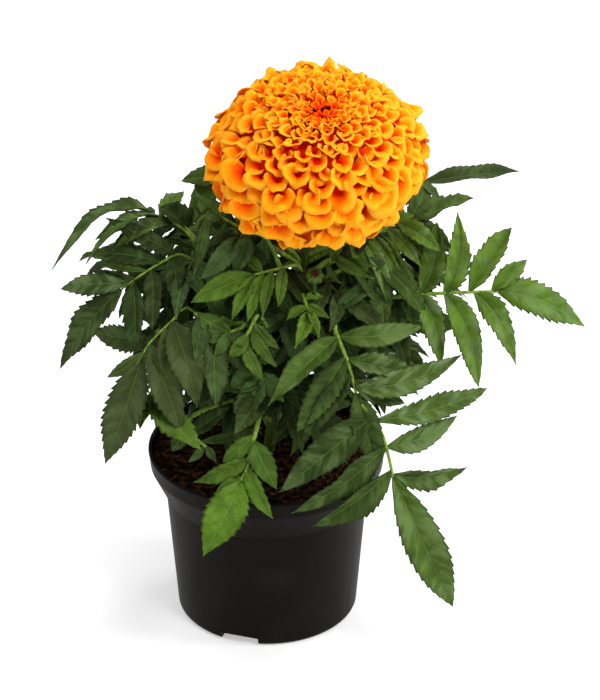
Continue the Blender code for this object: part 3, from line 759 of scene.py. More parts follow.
@dataclass
class Frond:
    """One pinnate leaf: a thin rib with toothed leaflets on both sides and one at its end.

    The tone runs from 0, old and in painted deep shade, to 1, young and bright, and the hue from 0, olive,
    to 1, cool. Part of each tone is painted light and shade.
    The girth is a factor on the rib's radius, and the node is the one that the frond stands for.
    """

    name: str
    rib: tuple[Point, ...]
    face: Point
    leaflets: tuple[tuple[float, ...], ...]
    tone: float = 0.3
    hue: float = 0.5
    girth: float = 1.0
    node: str | None = None
    detail: Detail = Detail.FINE

    ROOT_RADIUS = 1.50
    TIP_RADIUS = 0.72
    FULLNESS = 1.13
    RINGS = 15
    SIDES = 8
    BLADE = 0.35
    TEETH = (5, 12)
    ROLL = 18.0
    LEAN = 4.0
    FOLD = (10.0, 34.0)
    TWIST = 30.0
    RIPPLE = (0.08, 0.28)
    BEND_SPREAD = 0.03
    TONE_SPREAD = 0.10
    SERRATION = (0.6, 1.25)
    POINT = (0.86, 1.18)

    def station(self, line: list[tuple[float, ...]], share: float) -> Matrix:
        """Find a place on the rib.

        Args:
            line: The rib's points.
            share: Share of the rib's length.

        Returns:
            The place, with X forward, Y sideways and Z up from the frond's face.
        """
        place = share * (len(line) - 1)
        at = min(int(place), len(line) - 2)
        start, end = Vector(line[at][:3]), Vector(line[at + 1][:3])
        forward = (end - start).normalized()
        upward = Vector(self.face)
        upward = (upward - upward.dot(forward) * forward).normalized()
        turn = Matrix((forward, upward.cross(forward), upward)).transposed().to_4x4()
        return Matrix.Translation(start.lerp(end, place - at)) @ turn

    def build(self, leaf: Material, under: Material, stalk: Material) -> Object:
        """Model the frond's blades, give them their thickness and add the rib.

        Args:
            leaf: Finish of the upper faces.
            under: Finish of the lower faces.
            stalk: Finish of the rib.

        Returns:
            The frond's object.
        """
        chance = random.Random(self.name)
        line = spline(self.rib, self.RINGS)
        work = bmesh.new()
        work.loops.layers.uv.new("blade")
        work.loops.layers.float_color.new("blade_marks")
        stations, tooth = self.detail.value
        for plan in (Plan(*entry) for entry in self.leaflets):
            roll = math.radians(swing(chance, self.ROLL))
            lean = math.radians(swing(chance, self.LEAN))
            leaflet = Leaflet(
                length=plan.length * chance.uniform(0.99, 1.02),
                width=plan.width * self.FULLNESS,
                tone=clamp(self.tone + plan.tone_and_painted_light + swing(chance, self.TONE_SPREAD)),
                teeth=max(self.TEETH[0], min(self.TEETH[1], round(plan.length / tooth))),
                bow=0.05 + 0.25 * max(0.0, plan.droop - 0.10) + chance.uniform(-0.02, 0.05),
                fold=math.radians(chance.uniform(*self.FOLD)),
                twist=math.radians(swing(chance, self.TWIST)),
                ripple=chance.uniform(*self.RIPPLE),
                phase=chance.uniform(0.0, 6.28),
                droop=plan.droop + swing(chance, self.BEND_SPREAD),
                sweep=math.copysign(1.0, plan.angle) * plan.bend + swing(chance, self.BEND_SPREAD),
                serration=chance.uniform(*self.SERRATION),
                point=chance.uniform(*self.POINT),
                hue=self.hue,
                wax_and_painted_sheen=clamp(plan.wax_and_painted_sheen + swing(chance, self.TONE_SPREAD)),
                stations=stations,
            )
            leaflet.add(work, (
                self.station(line, min(plan.share, 0.99))
                @ Matrix.Rotation(math.radians(plan.angle), 4, "Z")
                @ Matrix.Rotation(lean, 4, "Y")
                @ Matrix.Rotation(roll, 4, "X")
            ))
        blades = finish_mesh(self.name, work, (leaf, under))
        solid = blades.modifiers.new("Blade", "SOLIDIFY")
        solid.thickness = MM * self.BLADE
        solid.offset = 0.0
        solid.material_offset = 1
        apply_modifiers(blades)
        whole = bmesh.new()
        whole.from_mesh(blades.data)
        bpy.data.objects.remove(blades, do_unlink=True)
        bmesh.ops.scale(whole, vec=(1 / MM, 1 / MM, 1 / MM), verts=whole.verts[:])
        taper = (self.TIP_RADIUS - self.ROOT_RADIUS) / (len(line) - 1)
        rib = [
            (*point, self.girth * (self.ROOT_RADIUS + taper * index)) for index, point in enumerate(line)
        ]
        for face in sweep(whole, rib, self.SIDES):
            face.material_index = 2
        made = finish_mesh(self.name, whole, (leaf, under, stalk))
        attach(made, "root")
        if self.node:
            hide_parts(self.node)
        return made


# A rib is given by points in millimetres, and each of its leaflets by the values of a Plan.
FRONDS = tuple(replace(frond, node=frond.name.replace("leaf", "frond")) for frond in (
    Frond("leaf_right", ((15, 0, 169), (41, -8, 179), (64, -12, 182), (86, -14, 185), (114, -14, 186)),
          (0.1, -0.8, 0.6),
          ((0.63, 49, 33, 13, -0.25, -0.15, 0.45, 0.3), (0.76, 52, 36, 12, 0.05, 0.05, 0.5, 0.4),
           (0.86, 54, 39, 12, 0.05, 0.05, 0.04, 0.4), (0.96, 41, 24, 8.5, 0.05, 0.15, 0.04, 0.4),
           (0.62, -48, 32, 12, 0.1, 0.25, 0.5, 1), (0.76, -50, 45, 13, 0.1, 0.1, 0.4, 0.7),
           (0.88, -40, 38, 12, 0.1, 0.1, 0.38, 0.5), (1, -5, 44, 16, 0.12, 0.2, 0.3, 0.5)), 0.8),
    Frond("leaf_front_right", ((16, 0, 174), (32, -16, 177), (34, -34, 175), (40, -42, 162),
          (44, -50, 149)), (0.15, -0.75, 0.65),
          ((0.55, 62, 41, 11, 0.1, 0.1, 0.35, 0.6), (0.73, 54, 38, 11, 0.1, 0.2, 0.1, 0.8),
           (0.88, 46, 28, 10, 0.1, 0.05, 0.1, 0.5), (0.94, 69, 51, 13, 0, 0.15, 0.45, 1),
           (0.56, -64, 48, 12, 0.1, 0.2, 0, 0.3), (0.71, -56, 44, 13, 0.1, 0, 0),
           (0.83, -52, 41, 10, 0.1, -0.3, 0), (1, 1, 38, 13, 0.1, 0, 0)), 0.36),
    Frond("leaf_hanging_right", ((12, 0, 150), (30, -26, 149), (46, -52, 145), (54, -58, 137),
          (59, -63, 125), (62, -66, 111)), (0.25, -0.85, 0.5),
          ((0.58, 63, 60, 12, 0.1, 0.25, 0.3, 1), (0.78, 78, 38, 11, 0.1, 0.15, 0.3, 0.7),
           (0.97, 65, 37, 11, 0.1, 0.15, 0.25, 0.6), (0.54, -90, 58, 15.5, 0.1, -0.1, 0, 0.2),
           (0.77, -70, 56, 14, 0.1, -0.1, 0, 0.2), (0.93, -66, 46, 13.5, 0.1, -0.1, 0),
           (1, 12, 79, 17.5, 0.05, 0.3, 0.03, 0.5)), 0.4),
    Frond("leaf_centre", ((17.5, 0, 184), (16, -20, 203), (5, -28, 205), (-6, -32, 204)),
          (-0.1, -0.75, 0.65),
          ((0.98, 7, 33, 11, 0.08, 0, 0.03), (0.83, -57, 16, 6, 0, 0.1), (0.93, 39, 25, 6.5),
           (0.81, 47, 25, 6.5, 0.1, 0.2), (0.7, 53, 24, 6), (0.55, 54, 20, 6)), 0.72, girth=0.75),
    Frond("leaf_left", ((-34, -7, 199), (-42, -10, 204), (-50, -14, 202), (-61, -17, 196), (-70, -18, 189)),
          (-0.2, -0.75, 0.62),
          ((0.27, -28, 40, 8, 0, 0.05, 0), (0.52, -46, 39, 9, 0.1, 0.1, -0.15, 0.5),
           (0.88, -38, 38, 10, 0.1, 0.35, -0.1, 0.9), (1, 12, 51, 17, 0.05, 0, 0, 0.2),
           (0.82, 69, 33, 11, 0, 0, -0.25), (0.62, 75, 30, 10, 0, 0, -0.25),
           (0.38, 84, 21, 10.5, 0, 0, -0.4), (0.67, -36, 26, 5, 0.1, 0.5), (0.79, -39, 25, 6)),
          0.04, 0.4, girth=0.62),
    Frond("leaf_left_arch", ((-34, -5, 209), (-39, -2, 214), (-46, 1, 217), (-53, 2, 218)),
          (-0.2, 0.05, 0.97),
          ((0.99, 17, 51, 14, 0.5, 0.05, 0, 0.4), (0.27, 0, 18, 13, 0, -0.2),
           (0.78, 42, 47, 9, 0.35, 0.15, 0.12, 0.8), (0.6, 52, 33, 8, 0.3, 0.1, 0.12, 0.5),
           (0.91, -98, 25, 8, -0.3, 0.7, 0.12, 1)), 0.3),
    Frond("leaf_low_left", ((5, 0, 121), (-16, -14, 152), (-36, -26, 183), (-46, -32, 178), (-56, -36, 169),
          (-60, -38, 162)), (-0.15, -0.85, 0.5),
          ((1, 7, 56, 17, 0.03, 0, 0), (0.81, 62, 45, 14, 0.08, 0, -0.1), (0.58, 70, 44, 16, 0.08, 0, -0.1),
           (0.64, 51, 34, 9, 0.2), (0.9, -22, 25, 6, 0.2, 0.5)), 0.2, 0.1, girth=0.62),
    Frond("leaf_front", ((4, 0, 106), (-1, -22, 134), (-3, -48, 134), (-6, -56, 125), (-9, -62, 114),
          (-12, -66, 109)), (-0.1, -0.8, 0.55),
          ((0.53, -28, 21, 8), (0.71, -45, 30, 8.5), (0.9, -30, 15, 5.5), (0.98, 4, 41, 18, 0.05, 0.1, 0),
           (0.58, 34, 26, 11, 0.1, -0.15), (0.77, 31, 28, 8.5, 0.1, 0.3)), 0.85),
    Frond("leaf_rim_left", ((6, 0, 112), (-18, -10, 136), (-44, -24, 146), (-58, -38, 140)),
          (-0.3, -0.7, 0.6),
          ((1, 72, 41, 14, 0.05), (1, 23, 18, 8, 0.1, -0.2), (0.92, 55, 29, 8, 0.1, -0.2)), 0.75),
    Frond("leaf_upper_right", ((19, 0.5, 194), (44, 6, 205), (60, 10, 208), (72, 12, 211)),
          (0.3, -0.55, 0.75),
          paired(3, 30, 11), 0.32),
    Frond("leaf_right_inner", ((18, 0, 188), (38, -8, 201), (54, -10, 200)), (0.3, -0.8, 0.5),
          ((0.62, -50, 26, 10), (0.9, -60, 34, 11), (1, -30, 36, 12), (0.55, 40, 22, 9)), 0.3),
    Frond("leaf_upper_left", ((18.5, 0.5, 192), (-3, -16, 216), (-16, -22, 227), (-27, -26, 237)),
          (-0.2, -0.75, 0.6),
          ((0.99, 107, 34, 6.5), (0.75, -1, 22, 10, 0), (0.89, 61, 14, 11), (0.56, 72, 21, 9),
           (0.67, 65, 16, 9), (0.42, 151, 21, 8)), 0.32, girth=0.8),
    Frond("leaf_inner_left", ((9, 0, 140), (-5, -16, 168), (-16, -26, 174), (-24, -34, 172)),
          (-0.1, -0.85, 0.45),
          ((0.72, 95, 26, 10), (0.86, 80, 28, 11), (0.9, -50, 18, 8), (1, 40, 34, 12)), 0.16),
    Frond("leaf_inner_front", ((7, 0, 128), (2, -22, 146), (-2, -38, 143)), (0, -0.85, 0.5),
          ((0.75, 60, 24, 10), (0.8, -60, 26, 10), (1, -4, 28, 12)), 0.14),
    Frond("leaf_young", ((16.8, 0, 178), (18, -24, 190), (21, -38, 187)), (0.05, -0.85, 0.5),
          ((0.99, -20, 23, 7.5), (0.93, 0, 17, 5), (0.79, 28, 14, 5), (0.83, -68, 11, 6), (0.7, 92, 9, 5)),
          0.85),
    Frond("leaf_behind_right", ((19.5, 1, 198), (44, 14, 215), (69, 28, 223), (77, 32, 223)),
          (0.1, -0.45, 0.88),
          ((1, 0, 60, 9, 0.12), (0.75, -48, 16, 6), (0.69, 25, 14, 8), (0.62, -94, 10, 9)), 0.05, 0.3),
    Frond("leaf_behind_left", ((18.5, 0.5, 191), (2, 12, 214), (-18, 20, 222), (-24, 22, 226)),
          (-0.2, -0.6, 0.75),
          paired(2, 10, 7), 0.2),
    Frond("leaf_right_low", ((16, 0, 168), (38, 4, 166), (60, 6, 160)), (0.3, -0.75, 0.55),
          paired(3, 34, 12), 0.25),
    Frond("leaf_back_left", ((-27, -5, 174), (-44, 14, 186), (-62, 30, 182)), (-0.3, 0.25, 0.9),
          paired(3, 36, 13), 0.3),
    Frond("leaf_back_right", ((34, 4, 170), (54, 24, 178), (70, 40, 170)), (0.35, 0.3, 0.85),
          paired(3, 40, 13), 0.3),
    Frond("leaf_back_middle", ((-1, 28, 172), (8, 50, 184), (14, 74, 172)), (0.05, 0.45, 0.85),
          paired(4, 38, 13), 0.35),
    Frond("leaf_back_low_left", ((3, 0, 98), (-18, 30, 128), (-36, 56, 128), (-46, 68, 116)),
          (-0.25, 0.5, 0.8),
          paired(3, 38, 14), 0.25),
    Frond("leaf_back_low_right", ((4, 0, 104), (26, 28, 130), (46, 50, 128), (56, 62, 116)),
          (0.3, 0.45, 0.8),
          paired(3, 38, 14), 0.25),
    Frond("leaf_back_upper", ((-3, 34, 194), (-8, 50, 210), (-14, 64, 212)), (-0.15, 0.35, 0.9),
          paired(3, 25, 10), 0.4),
))

EXTRA_FRONDS = (
    Frond("leaf_rim_inner", ((4, 0, 104), (-14, -14, 126), (-43, -40, 126), (-37, -44, 123),
          (-29, -48, 118)), (-0.1, -0.85, 0.5),
          ((0.75, 62, 24, 9), (0.89, 45, 31, 5), (1, -11, 9, 4), (0.96, -86, 11, 4), (0.67, -94, 11, 7)),
          0.16),
    Frond("leaf_blue_left", ((15, 0, 168), (1, -18, 216), (-12, -24, 221)), (-0.1, -0.8, 0.55),
          ((0.99, 34, 29, 10), (0.79, 50, 21, 9), (0.55, 121, 18, 8), (0.99, -11, 10, 6)), 0.5, 0.9),
    Frond("leaf_glossy", ((10, 0, 144), (-6, -26, 174), (-12, -32, 175), (-19, -36, 174)), (0, -0.8, 0.6),
          ((0.99, 130, 19, 7), (0.84, 23, 15, 7), (0.59, 154, 13, 6), (0.99, -8, 14, 7)), 0.5, 0.7),
    Frond("leaf_curly", ((9, 0, 140), (-17, -24, 174), (-26, -30, 181), (-34, -34, 184)), (0, -0.8, 0.6),
          ((0.98, 149, 20, 9, -0.1, 0.4), (0.65, 103, 31, 7, 0.1, 0.1), (0.81, 70, 23, 9),
           (0.56, 117, 30, 9), (0.42, -21, 18, 8)), 0.15, 0.7),
    Frond("leaf_broad", ((4, 0, 106), (0, -16, 148), (-5, -28, 160), (-3, -34, 155), (-2, -36, 152)),
          (0, -0.85, 0.5),
          ((1, -29, 27, 13, 0.05), (0.68, -148, 12, 7, 0.1, 0.15), (0.68, 97, 12, 6), (0.79, -66, 17, 10),
           (0.92, 16, 18, 10)), 0.75, 1),
    Frond("leaf_striped", ((9, 0, 136), (-2, -30, 180), (-7, -36, 177), (-10, -38, 172)), (0, -0.85, 0.5),
          ((1, 43, 22, 6.5), (0.54, 56, 18, 6), (0.79, -1, 16, 7), (0.66, 60, 22, 6)), 0.85, 0.3),
    Frond("leaf_left_branch", ((-14, -4, 154), (-40, -8, 175), (-48, -6, 165), (-58, -4, 155)),
          (-0.1, -0.8, 0.55),
          ((0.98, -32, 35, 13, 0.05), (0.68, -61, 21, 8), (0.54, -40, 15, 8), (0.84, 29, 18, 8),
           (0.33, 83, 14, 8), (0.35, -16, 11, 7)), 0.12, 0.3),
    Frond("leaf_crown_right", ((19.5, 1, 198), (39, -2, 209), (52, 0, 210), (64, 2, 216)),
          (0.25, -0.6, 0.75),
          ((0.84, -71, 26, 7, 0.1, 0, 0.12, 0.9), (0.72, -75, 35, 9, 0.1, 0, 0.12, 0.9),
           (0.67, -71, 27, 7, 0.1, 0.2, 0.12, 0.6), (0.51, -67, 37, 8, 0.1, -0.05, 0.12, 0.9),
           (0.38, -74, 24, 8), (0.92, -1, 11, 7), (0.99, -57, 26, 9, 0.1, 0.1, 0.12, 0.9)), 0.8),
    Frond("leaf_bud_side", ((18, 0, 184), (29, -18, 204), (34, -24, 209)), (0.05, -0.85, 0.5),
          ((1, -20, 28, 6), (0.88, -6, 28, 6), (0.65, 14, 14, 5), (0.57, -94, 13, 5)), 0.5),
    Frond("leaf_blue", ((17, 0, 180), (42, -10, 197), (54, -16, 194)), (0, -0.85, 0.5),
          ((1, -101, 26, 7.5, -0.1), (0.76, -72, 19, 7), (1, -14, 13, 7), (0.64, 21, 13, 7)), 0.35, 0.9),
    Frond("leaf_right_middle", ((14, 0, 160), (34, -2, 172), (59, -6, 179), (68, -8, 180)),
          (0.2, -0.75, 0.6),
          ((0.96, -58, 15, 9, 0.1, 0.35), (0.77, -80, 16, 9, 0.1, 0.1), (0.64, -101, 15, 9),
           (0.99, -33, 10, 7, 0.1, 0.3), (0.53, -122, 13, 8), (0.71, 100, 14, 8), (0.88, 88, 11, 7)), 0.2),
    Frond("leaf_crown_left", ((18.5, 0.5, 193), (4, -6, 214), (-8, -10, 219), (-14, -12, 219)),
          (-0.15, -0.7, 0.65),
          ((1, 40, 30, 11, 0.2), (0.84, 80, 30, 11, 0.2), (0.9, -40, 26, 10), (0.6, 75, 26, 10),
           (0.64, -55, 22, 9)), 0.22),
    Frond("leaf_crown_back", ((18.5, 0.5, 190), (-2, 6, 216), (-14, 11, 229), (-22, 14, 234.5)),
          (-0.3, -0.55, 0.78),
          ((0.99, 38, 19, 10, 0.1, 0, 0.05), (0.93, 69, 27, 12, 0.15, 0.1, 0.4), (0.67, 102, 14, 9)), 0.5),
    Frond("leaf_centre_low", ((7, 0, 126), (-6, -8, 144), (-14, -12, 150), (-19, -14, 146)),
          (-0.1, -0.8, 0.55),
          ((1, 10, 34, 13, 0.2), (0.9, 70, 30, 11, 0.2), (0.76, 84, 30, 11), (0.8, -50, 26, 10),
           (0.6, -66, 24, 9)), 0.1),
    Frond("leaf_centre_right", ((12, 0, 152), (14, -10, 164), (18, -16, 160)), (0.05, -0.85, 0.45),
          ((1, 4, 32, 11, 0.2), (0.85, 60, 28, 10), (0.85, -60, 28, 10), (0.6, 70, 24, 9),
           (0.6, -70, 24, 9)), 0.08),
)


@dataclass
class Thicket:
    """Leaves close to the stem, which close the gaps between the outer fronds; their low tones and darker
    ribs are painted shade inside the foliage.
    """

    name: str
    count: int
    foot: Point
    crown: Point
    reach: tuple[float, float] = (34.0, 52.0)
    leaf: tuple[float, float] = (24.0, 32.0)
    seed: int = 11

    FIRST_TURN = 0.6
    FRONT_REACH = 0.55
    RISE = (10.0, 20.0)
    # Low tones: painted shade inside the foliage.
    TONE = (0.0, 0.24)
    HUES = (0.3, 0.5, 0.5, 0.8)

    def fronds(self) -> list[Frond]:
        """Plan the fronds, each turned by the golden angle from the one below it.

        Returns:
            The fronds, from the foot up. Those that point at the viewer are shorter.
        """
        chance = random.Random(self.seed)
        made = []
        for index in range(self.count):
            share = (index + 0.5) / self.count
            around = index * GOLDEN_ANGLE + self.FIRST_TURN
            out = Vector((math.cos(around), math.sin(around), 0.0))
            root = Vector(self.foot).lerp(Vector(self.crown), share)
            reach = chance.uniform(*self.reach) * (self.FRONT_REACH if out.y < -0.35 else 1.0)
            rise = chance.uniform(*self.RISE) * (1.0 - 0.6 * share)
            rib = (
                root,
                root + 0.55 * reach * out + Vector((0.0, 0.0, rise)),
                root + reach * out + Vector((0.0, 0.0, 0.45 * rise)),
            )
            face = out * 0.30 + Vector((0.0, -0.25, 0.85))
            length = chance.uniform(*self.leaf)
            made.append(Frond(
                f"{self.name}_{index + 1:02d}", tuple(map(tuple, rib)), tuple(face),
                paired(3, length, 0.32 * length, 0.40), chance.uniform(*self.TONE),
                chance.choice(self.HUES), detail=Detail.COARSE,
            ))
        return made


THICKETS = (
    Thicket("inner_leaf", 28, (4.0, 2.0, 104.0), (19.0, 2.0, 198.0)),
    Thicket("left_leaf", 15, (-8.0, 2.0, 142.0), (-32.0, 3.0, 206.0), (24.0, 42.0), (20.0, 28.0), 5),
    Thicket("left_fill", 8, (-22.0, 6.0, 158.0), (-46.0, 4.0, 184.0), (12.0, 22.0), (18.0, 24.0), 9),
    Thicket("right_leaf", 6, (30.0, 4.0, 166.0), (47.0, 7.0, 192.0), (18.0, 30.0), (18.0, 24.0), 8),
)


@dataclass
class Head:
    """The double flower head: ruffled trumpet florets in a loose spiral over a core painted dark as the
    shade between them.
    """

    centre: Vector = field(default_factory=lambda: Vector((25.0, -9.0, 256.8)))
    radius: float = 52.0
    half_height: float = 32.8
    lean: float = 19.0
    turn: float = -2.0
    eye_offset: float = 3.5
    eye_radius: float = 0.03
    lowest_polar: float = 128.0
    eye_spacing: float = 3.0
    rim_spacing: float = 9.8
    dimple: float = 8.5
    dimple_angle: float = 0.17
    eye_angle: float = 0.22
    core_share: float = 0.82
    core_dimple_angle: float = 0.35
    petal: float = 0.28
    seed: int = 7

    # A floret's value at the eye, and its value when it is full grown, from GROWN_ANGLE on.
    SPREAD = (148.0, 103.0)
    REACH = (0.76, 1.08)
    STAND = (0.42, 0.08)
    CURL = (0.0, 0.14)
    WAVE = (0.08, 0.0)
    CRUMPLE = (0.26, 0.13)
    CRUMPLE_SCALE = (3.4, 2.2)

    GROWN_ANGLE = 55.0
    GROWN_GRID = (14, 6)
    YOUNG_GRID = (10, 5)
    FULL_SPACING_ANGLE = 62.0
    PACKING = 0.87
    STEPS = 4000
    LOBES = (1.3, 1.7, 2.1, 2.6)
    THROAT = 0.14
    LIP = 0.55

    # How far chance moves a floret, as shares of its spacing or its directions, and its spread.
    JITTER = 0.30
    TILT = 0.24
    TILT_DOWN = 0.16
    TURN = 0.60
    SPREAD_SWING = 18.0

    # What chance multiplies the reach by, what it adds to other values, and shares of reach or size.
    REACH_FACTOR = (0.86, 1.12)
    STAND_ADDED = (-0.10, 0.14)
    CURL_ADDED = (0.05, 0.22)
    WAVE_ADDED = (0.10, 0.23)
    NOTCH = (0.03, 0.13)
    LIFT = (-0.30, 0.08)

    # The trumpet's depth as a share of its size, its greatest depth and its throat's share of reach.
    DEPTH = 1.5
    DEEPEST = 11.0
    TUBE = 0.10

    def matrix(self) -> Matrix:
        """Place and lean of the head."""
        return (
            Matrix.Translation(self.centre)
            @ Matrix.Rotation(math.radians(self.turn), 4, "Y")
            @ Matrix.Rotation(math.radians(self.lean), 4, "X")
        )

    def surface(self, polar: float, around: float) -> tuple[Vector, Vector, Vector]:
        """Find a point of the head's oval.

        Args:
            polar: Angle from the head's eye, in radians.
            around: Angle around it.

        Returns:
            The point, with its outward and its downward direction.
        """
        turn = Matrix.Rotation(math.radians(self.eye_offset), 3, "Y")
        oval = Matrix.Diagonal((self.radius, self.radius, self.half_height))
        out = Vector((math.cos(around), math.sin(around), 0.0))
        up = Vector((0.0, 0.0, 1.0))
        way = turn @ (math.sin(polar) * out + math.cos(polar) * up)
        normal = (oval.inverted() @ way).normalized()
        point = oval @ way - self.dimple * math.exp(-((polar / self.dimple_angle) ** 2)) * normal
        down = oval @ (turn @ (math.cos(polar) * out - math.sin(polar) * up))
        return point, normal, (down - down.dot(normal) * normal).normalized()

    def spacing(self, polar: float) -> float:
        """Distance between florets at an angle from the eye."""
        share = min(1.0, polar / math.radians(self.FULL_SPACING_ANGLE)) ** 1.1
        return self.eye_spacing + (self.rim_spacing - self.eye_spacing) * share

    def stations(self) -> list[float]:
        """Space the florets so that each has room for its size.

        Returns:
            Each floret's angle from the eye, in radians.
        """
        made = []
        grown = 0.0
        step = math.radians(self.lowest_polar) / self.STEPS
        for index in range(self.STEPS):
            polar = (index + 0.5) * step
            ring = math.tau * self.radius * math.sin(polar)
            arc = math.hypot(self.radius * math.cos(polar), self.half_height * math.sin(polar)) * step
            grown += ring * arc / (self.PACKING * self.spacing(polar) ** 2)
            if grown >= 1.0:
                grown -= 1.0
                if polar > self.eye_radius:
                    made.append(polar)
        return made

    @staticmethod
    def aged(ends: tuple[float, float], grown: float) -> float:
        """A value between its young and its grown end."""
        return ends[0] + (ends[1] - ends[0]) * grown

    def add_floret(self, work: BMesh, polar: float, around: float, chance: random.Random) -> None:
        """Add one trumpet floret, with its broad lip turned away from the eye.

        Args:
            work: The bmesh, with a marks layer.
            polar: Angle from the eye, in radians.
            around: Angle around it.
            chance: The source of its own shape.
        """
        size = self.spacing(polar)
        grown = min(1.0, polar / math.radians(self.GROWN_ANGLE))
        # Florets near the eye get a lower share and so darker colours: painted shade in the hollow of the
        # eye.
        painted_eye_shade = 0.30 + 0.70 * min(1.0, polar / self.eye_angle)
        polar += swing(chance, self.JITTER) * size / self.radius
        around += swing(chance, self.JITTER) * size / (self.radius * max(0.12, math.sin(polar)))
        point, normal, down = self.surface(polar, around)
        side = normal.cross(down)
        normal += side * swing(chance, self.TILT) + down * chance.uniform(-self.TILT, self.TILT_DOWN)
        normal.normalize()
        side = normal.cross(down + side * swing(chance, self.TURN)).normalized()
        down = side.cross(normal)
        spread = math.radians(self.aged(self.SPREAD, grown) + swing(chance, self.SPREAD_SWING))
        reach = size * self.aged(self.REACH, grown) * chance.uniform(*self.REACH_FACTOR)
        depth = min(size * self.DEPTH, self.DEEPEST)
        stand = self.aged(self.STAND, grown) + chance.uniform(*self.STAND_ADDED)
        throat = self.TUBE * reach
        curl = self.aged(self.CURL, grown) + chance.uniform(*self.CURL_ADDED)
        lobes = chance.choice(self.LOBES)
        phase, second_phase = chance.uniform(0.0, 6.28), chance.uniform(0.0, 6.28)
        wave = self.aged(self.WAVE, grown) + chance.uniform(*self.WAVE_ADDED)
        crumple = self.aged(self.CRUMPLE, grown) * size
        crumple_scale = self.aged(self.CRUMPLE_SCALE, grown) / size
        notch = chance.uniform(*self.NOTCH)
        lift = chance.uniform(*self.LIFT) * size
        tone = chance.random()
        columns, rows = self.GROWN_GRID if grown > 0.55 else self.YOUNG_GRID
        marks = {}
        for vertex in bmesh.ops.create_grid(work, x_segments=columns, y_segments=rows, size=0.5)["verts"]:
            across, outward = 2.0 * vertex.co.x, vertex.co.y + 0.5
            marks[vertex] = (outward * painted_eye_shade, tone, vertex.co.x + 0.5, 1.0)
            outward *= 1.0 - 0.30 * abs(across) ** 4.0
            angle = across * spread
            flare = max(0.0, (outward - self.THROAT) / (1.0 - self.THROAT)) ** 1.25
            longest = reach * (0.76 + 0.24 * math.cos(angle * 0.8))
            longest *= 1.0 + notch * math.cos(lobes * angle * 2.0 + phase) * outward ** 3
            away = throat + (longest - throat) * flare
            ruffle = math.sin(lobes * angle * 1.4 + phase)
            ruffle += 0.5 * math.sin(lobes * angle * 2.3 + second_phase)
            height = lift - depth * (1.0 - outward) ** 1.55 + stand * away
            height += 0.12 * reach * abs(across) ** 1.6 * outward ** 2
            height += wave * reach * ruffle * outward ** 2.5
            height += 0.035 * reach * math.sin(7.0 * angle + second_phase) * outward ** 5
            height -= curl * reach * max(0.0, (outward - self.LIP) / (1.0 - self.LIP)) ** 2
            vertex.co = point + (down * math.cos(angle) + side * math.sin(angle)) * away + normal * height
            vertex.co += crumple * outward ** 2 * noise.noise_vector(vertex.co * crumple_scale)
        write_marks(work.loops.layers.float_color["petal_marks"], marks)

    def add_core(self, work: BMesh) -> None:
        """Add the oval heart that shows between the florets, painted dark as the shade deep in the head.

        Args:
            work: The bmesh, with a marks layer.
        """
        core = bmesh.ops.create_icosphere(work, subdivisions=4, radius=1.0)["verts"]
        size = self.core_share * Vector((self.radius, self.radius, self.half_height))
        bmesh.ops.scale(work, vec=size, verts=core)
        eye = self.surface(0.0, 0.0)[1]
        marks = {}
        for vertex in core:
            angle = eye.angle(vertex.co)
            # Nearly black at the eye, painted shade in its hollow; red from 0.6 radians out and more orange
            # underneath.
            share = 0.30 * min(1.0, angle / 0.6) - 0.02 + 0.30 * max(0.0, angle - 2.0)
            marks[vertex] = (share, 0.5, 0.5, 1.0)
            vertex.co -= self.dimple * math.exp(-((angle / self.core_dimple_angle) ** 2)) * eye
        write_marks(work.loops.layers.float_color["petal_marks"], marks)

    def build(self, petal: Material) -> list[Object]:
        """Model the florets and the core under them.

        Args:
            petal: The petals' finish.

        Returns:
            The head's objects, the first of which replaces the solid bloom.
        """
        chance = random.Random(self.seed)
        stations = self.stations()
        made = []
        for number in range(2):
            work = bmesh.new()
            work.loops.layers.float_color.new("petal_marks")
            for place in range(number, len(stations), 2):
                self.add_floret(work, stations[place], place * GOLDEN_ANGLE, chance)
            if number == 0:
                self.add_core(work)
            bmesh.ops.transform(work, matrix=self.matrix(), verts=work.verts[:])
            head = finish_mesh(f"bloom_florets_{number + 1}", work, (petal,))
            solid = head.modifiers.new("Petal", "SOLIDIFY")
            solid.thickness = MM * self.petal
            solid.offset = 0.0
            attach(head, "root")
            made.append(head)
        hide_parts("bloom")
        LOG.info("bloom: %d florets", len(stations))
        return made


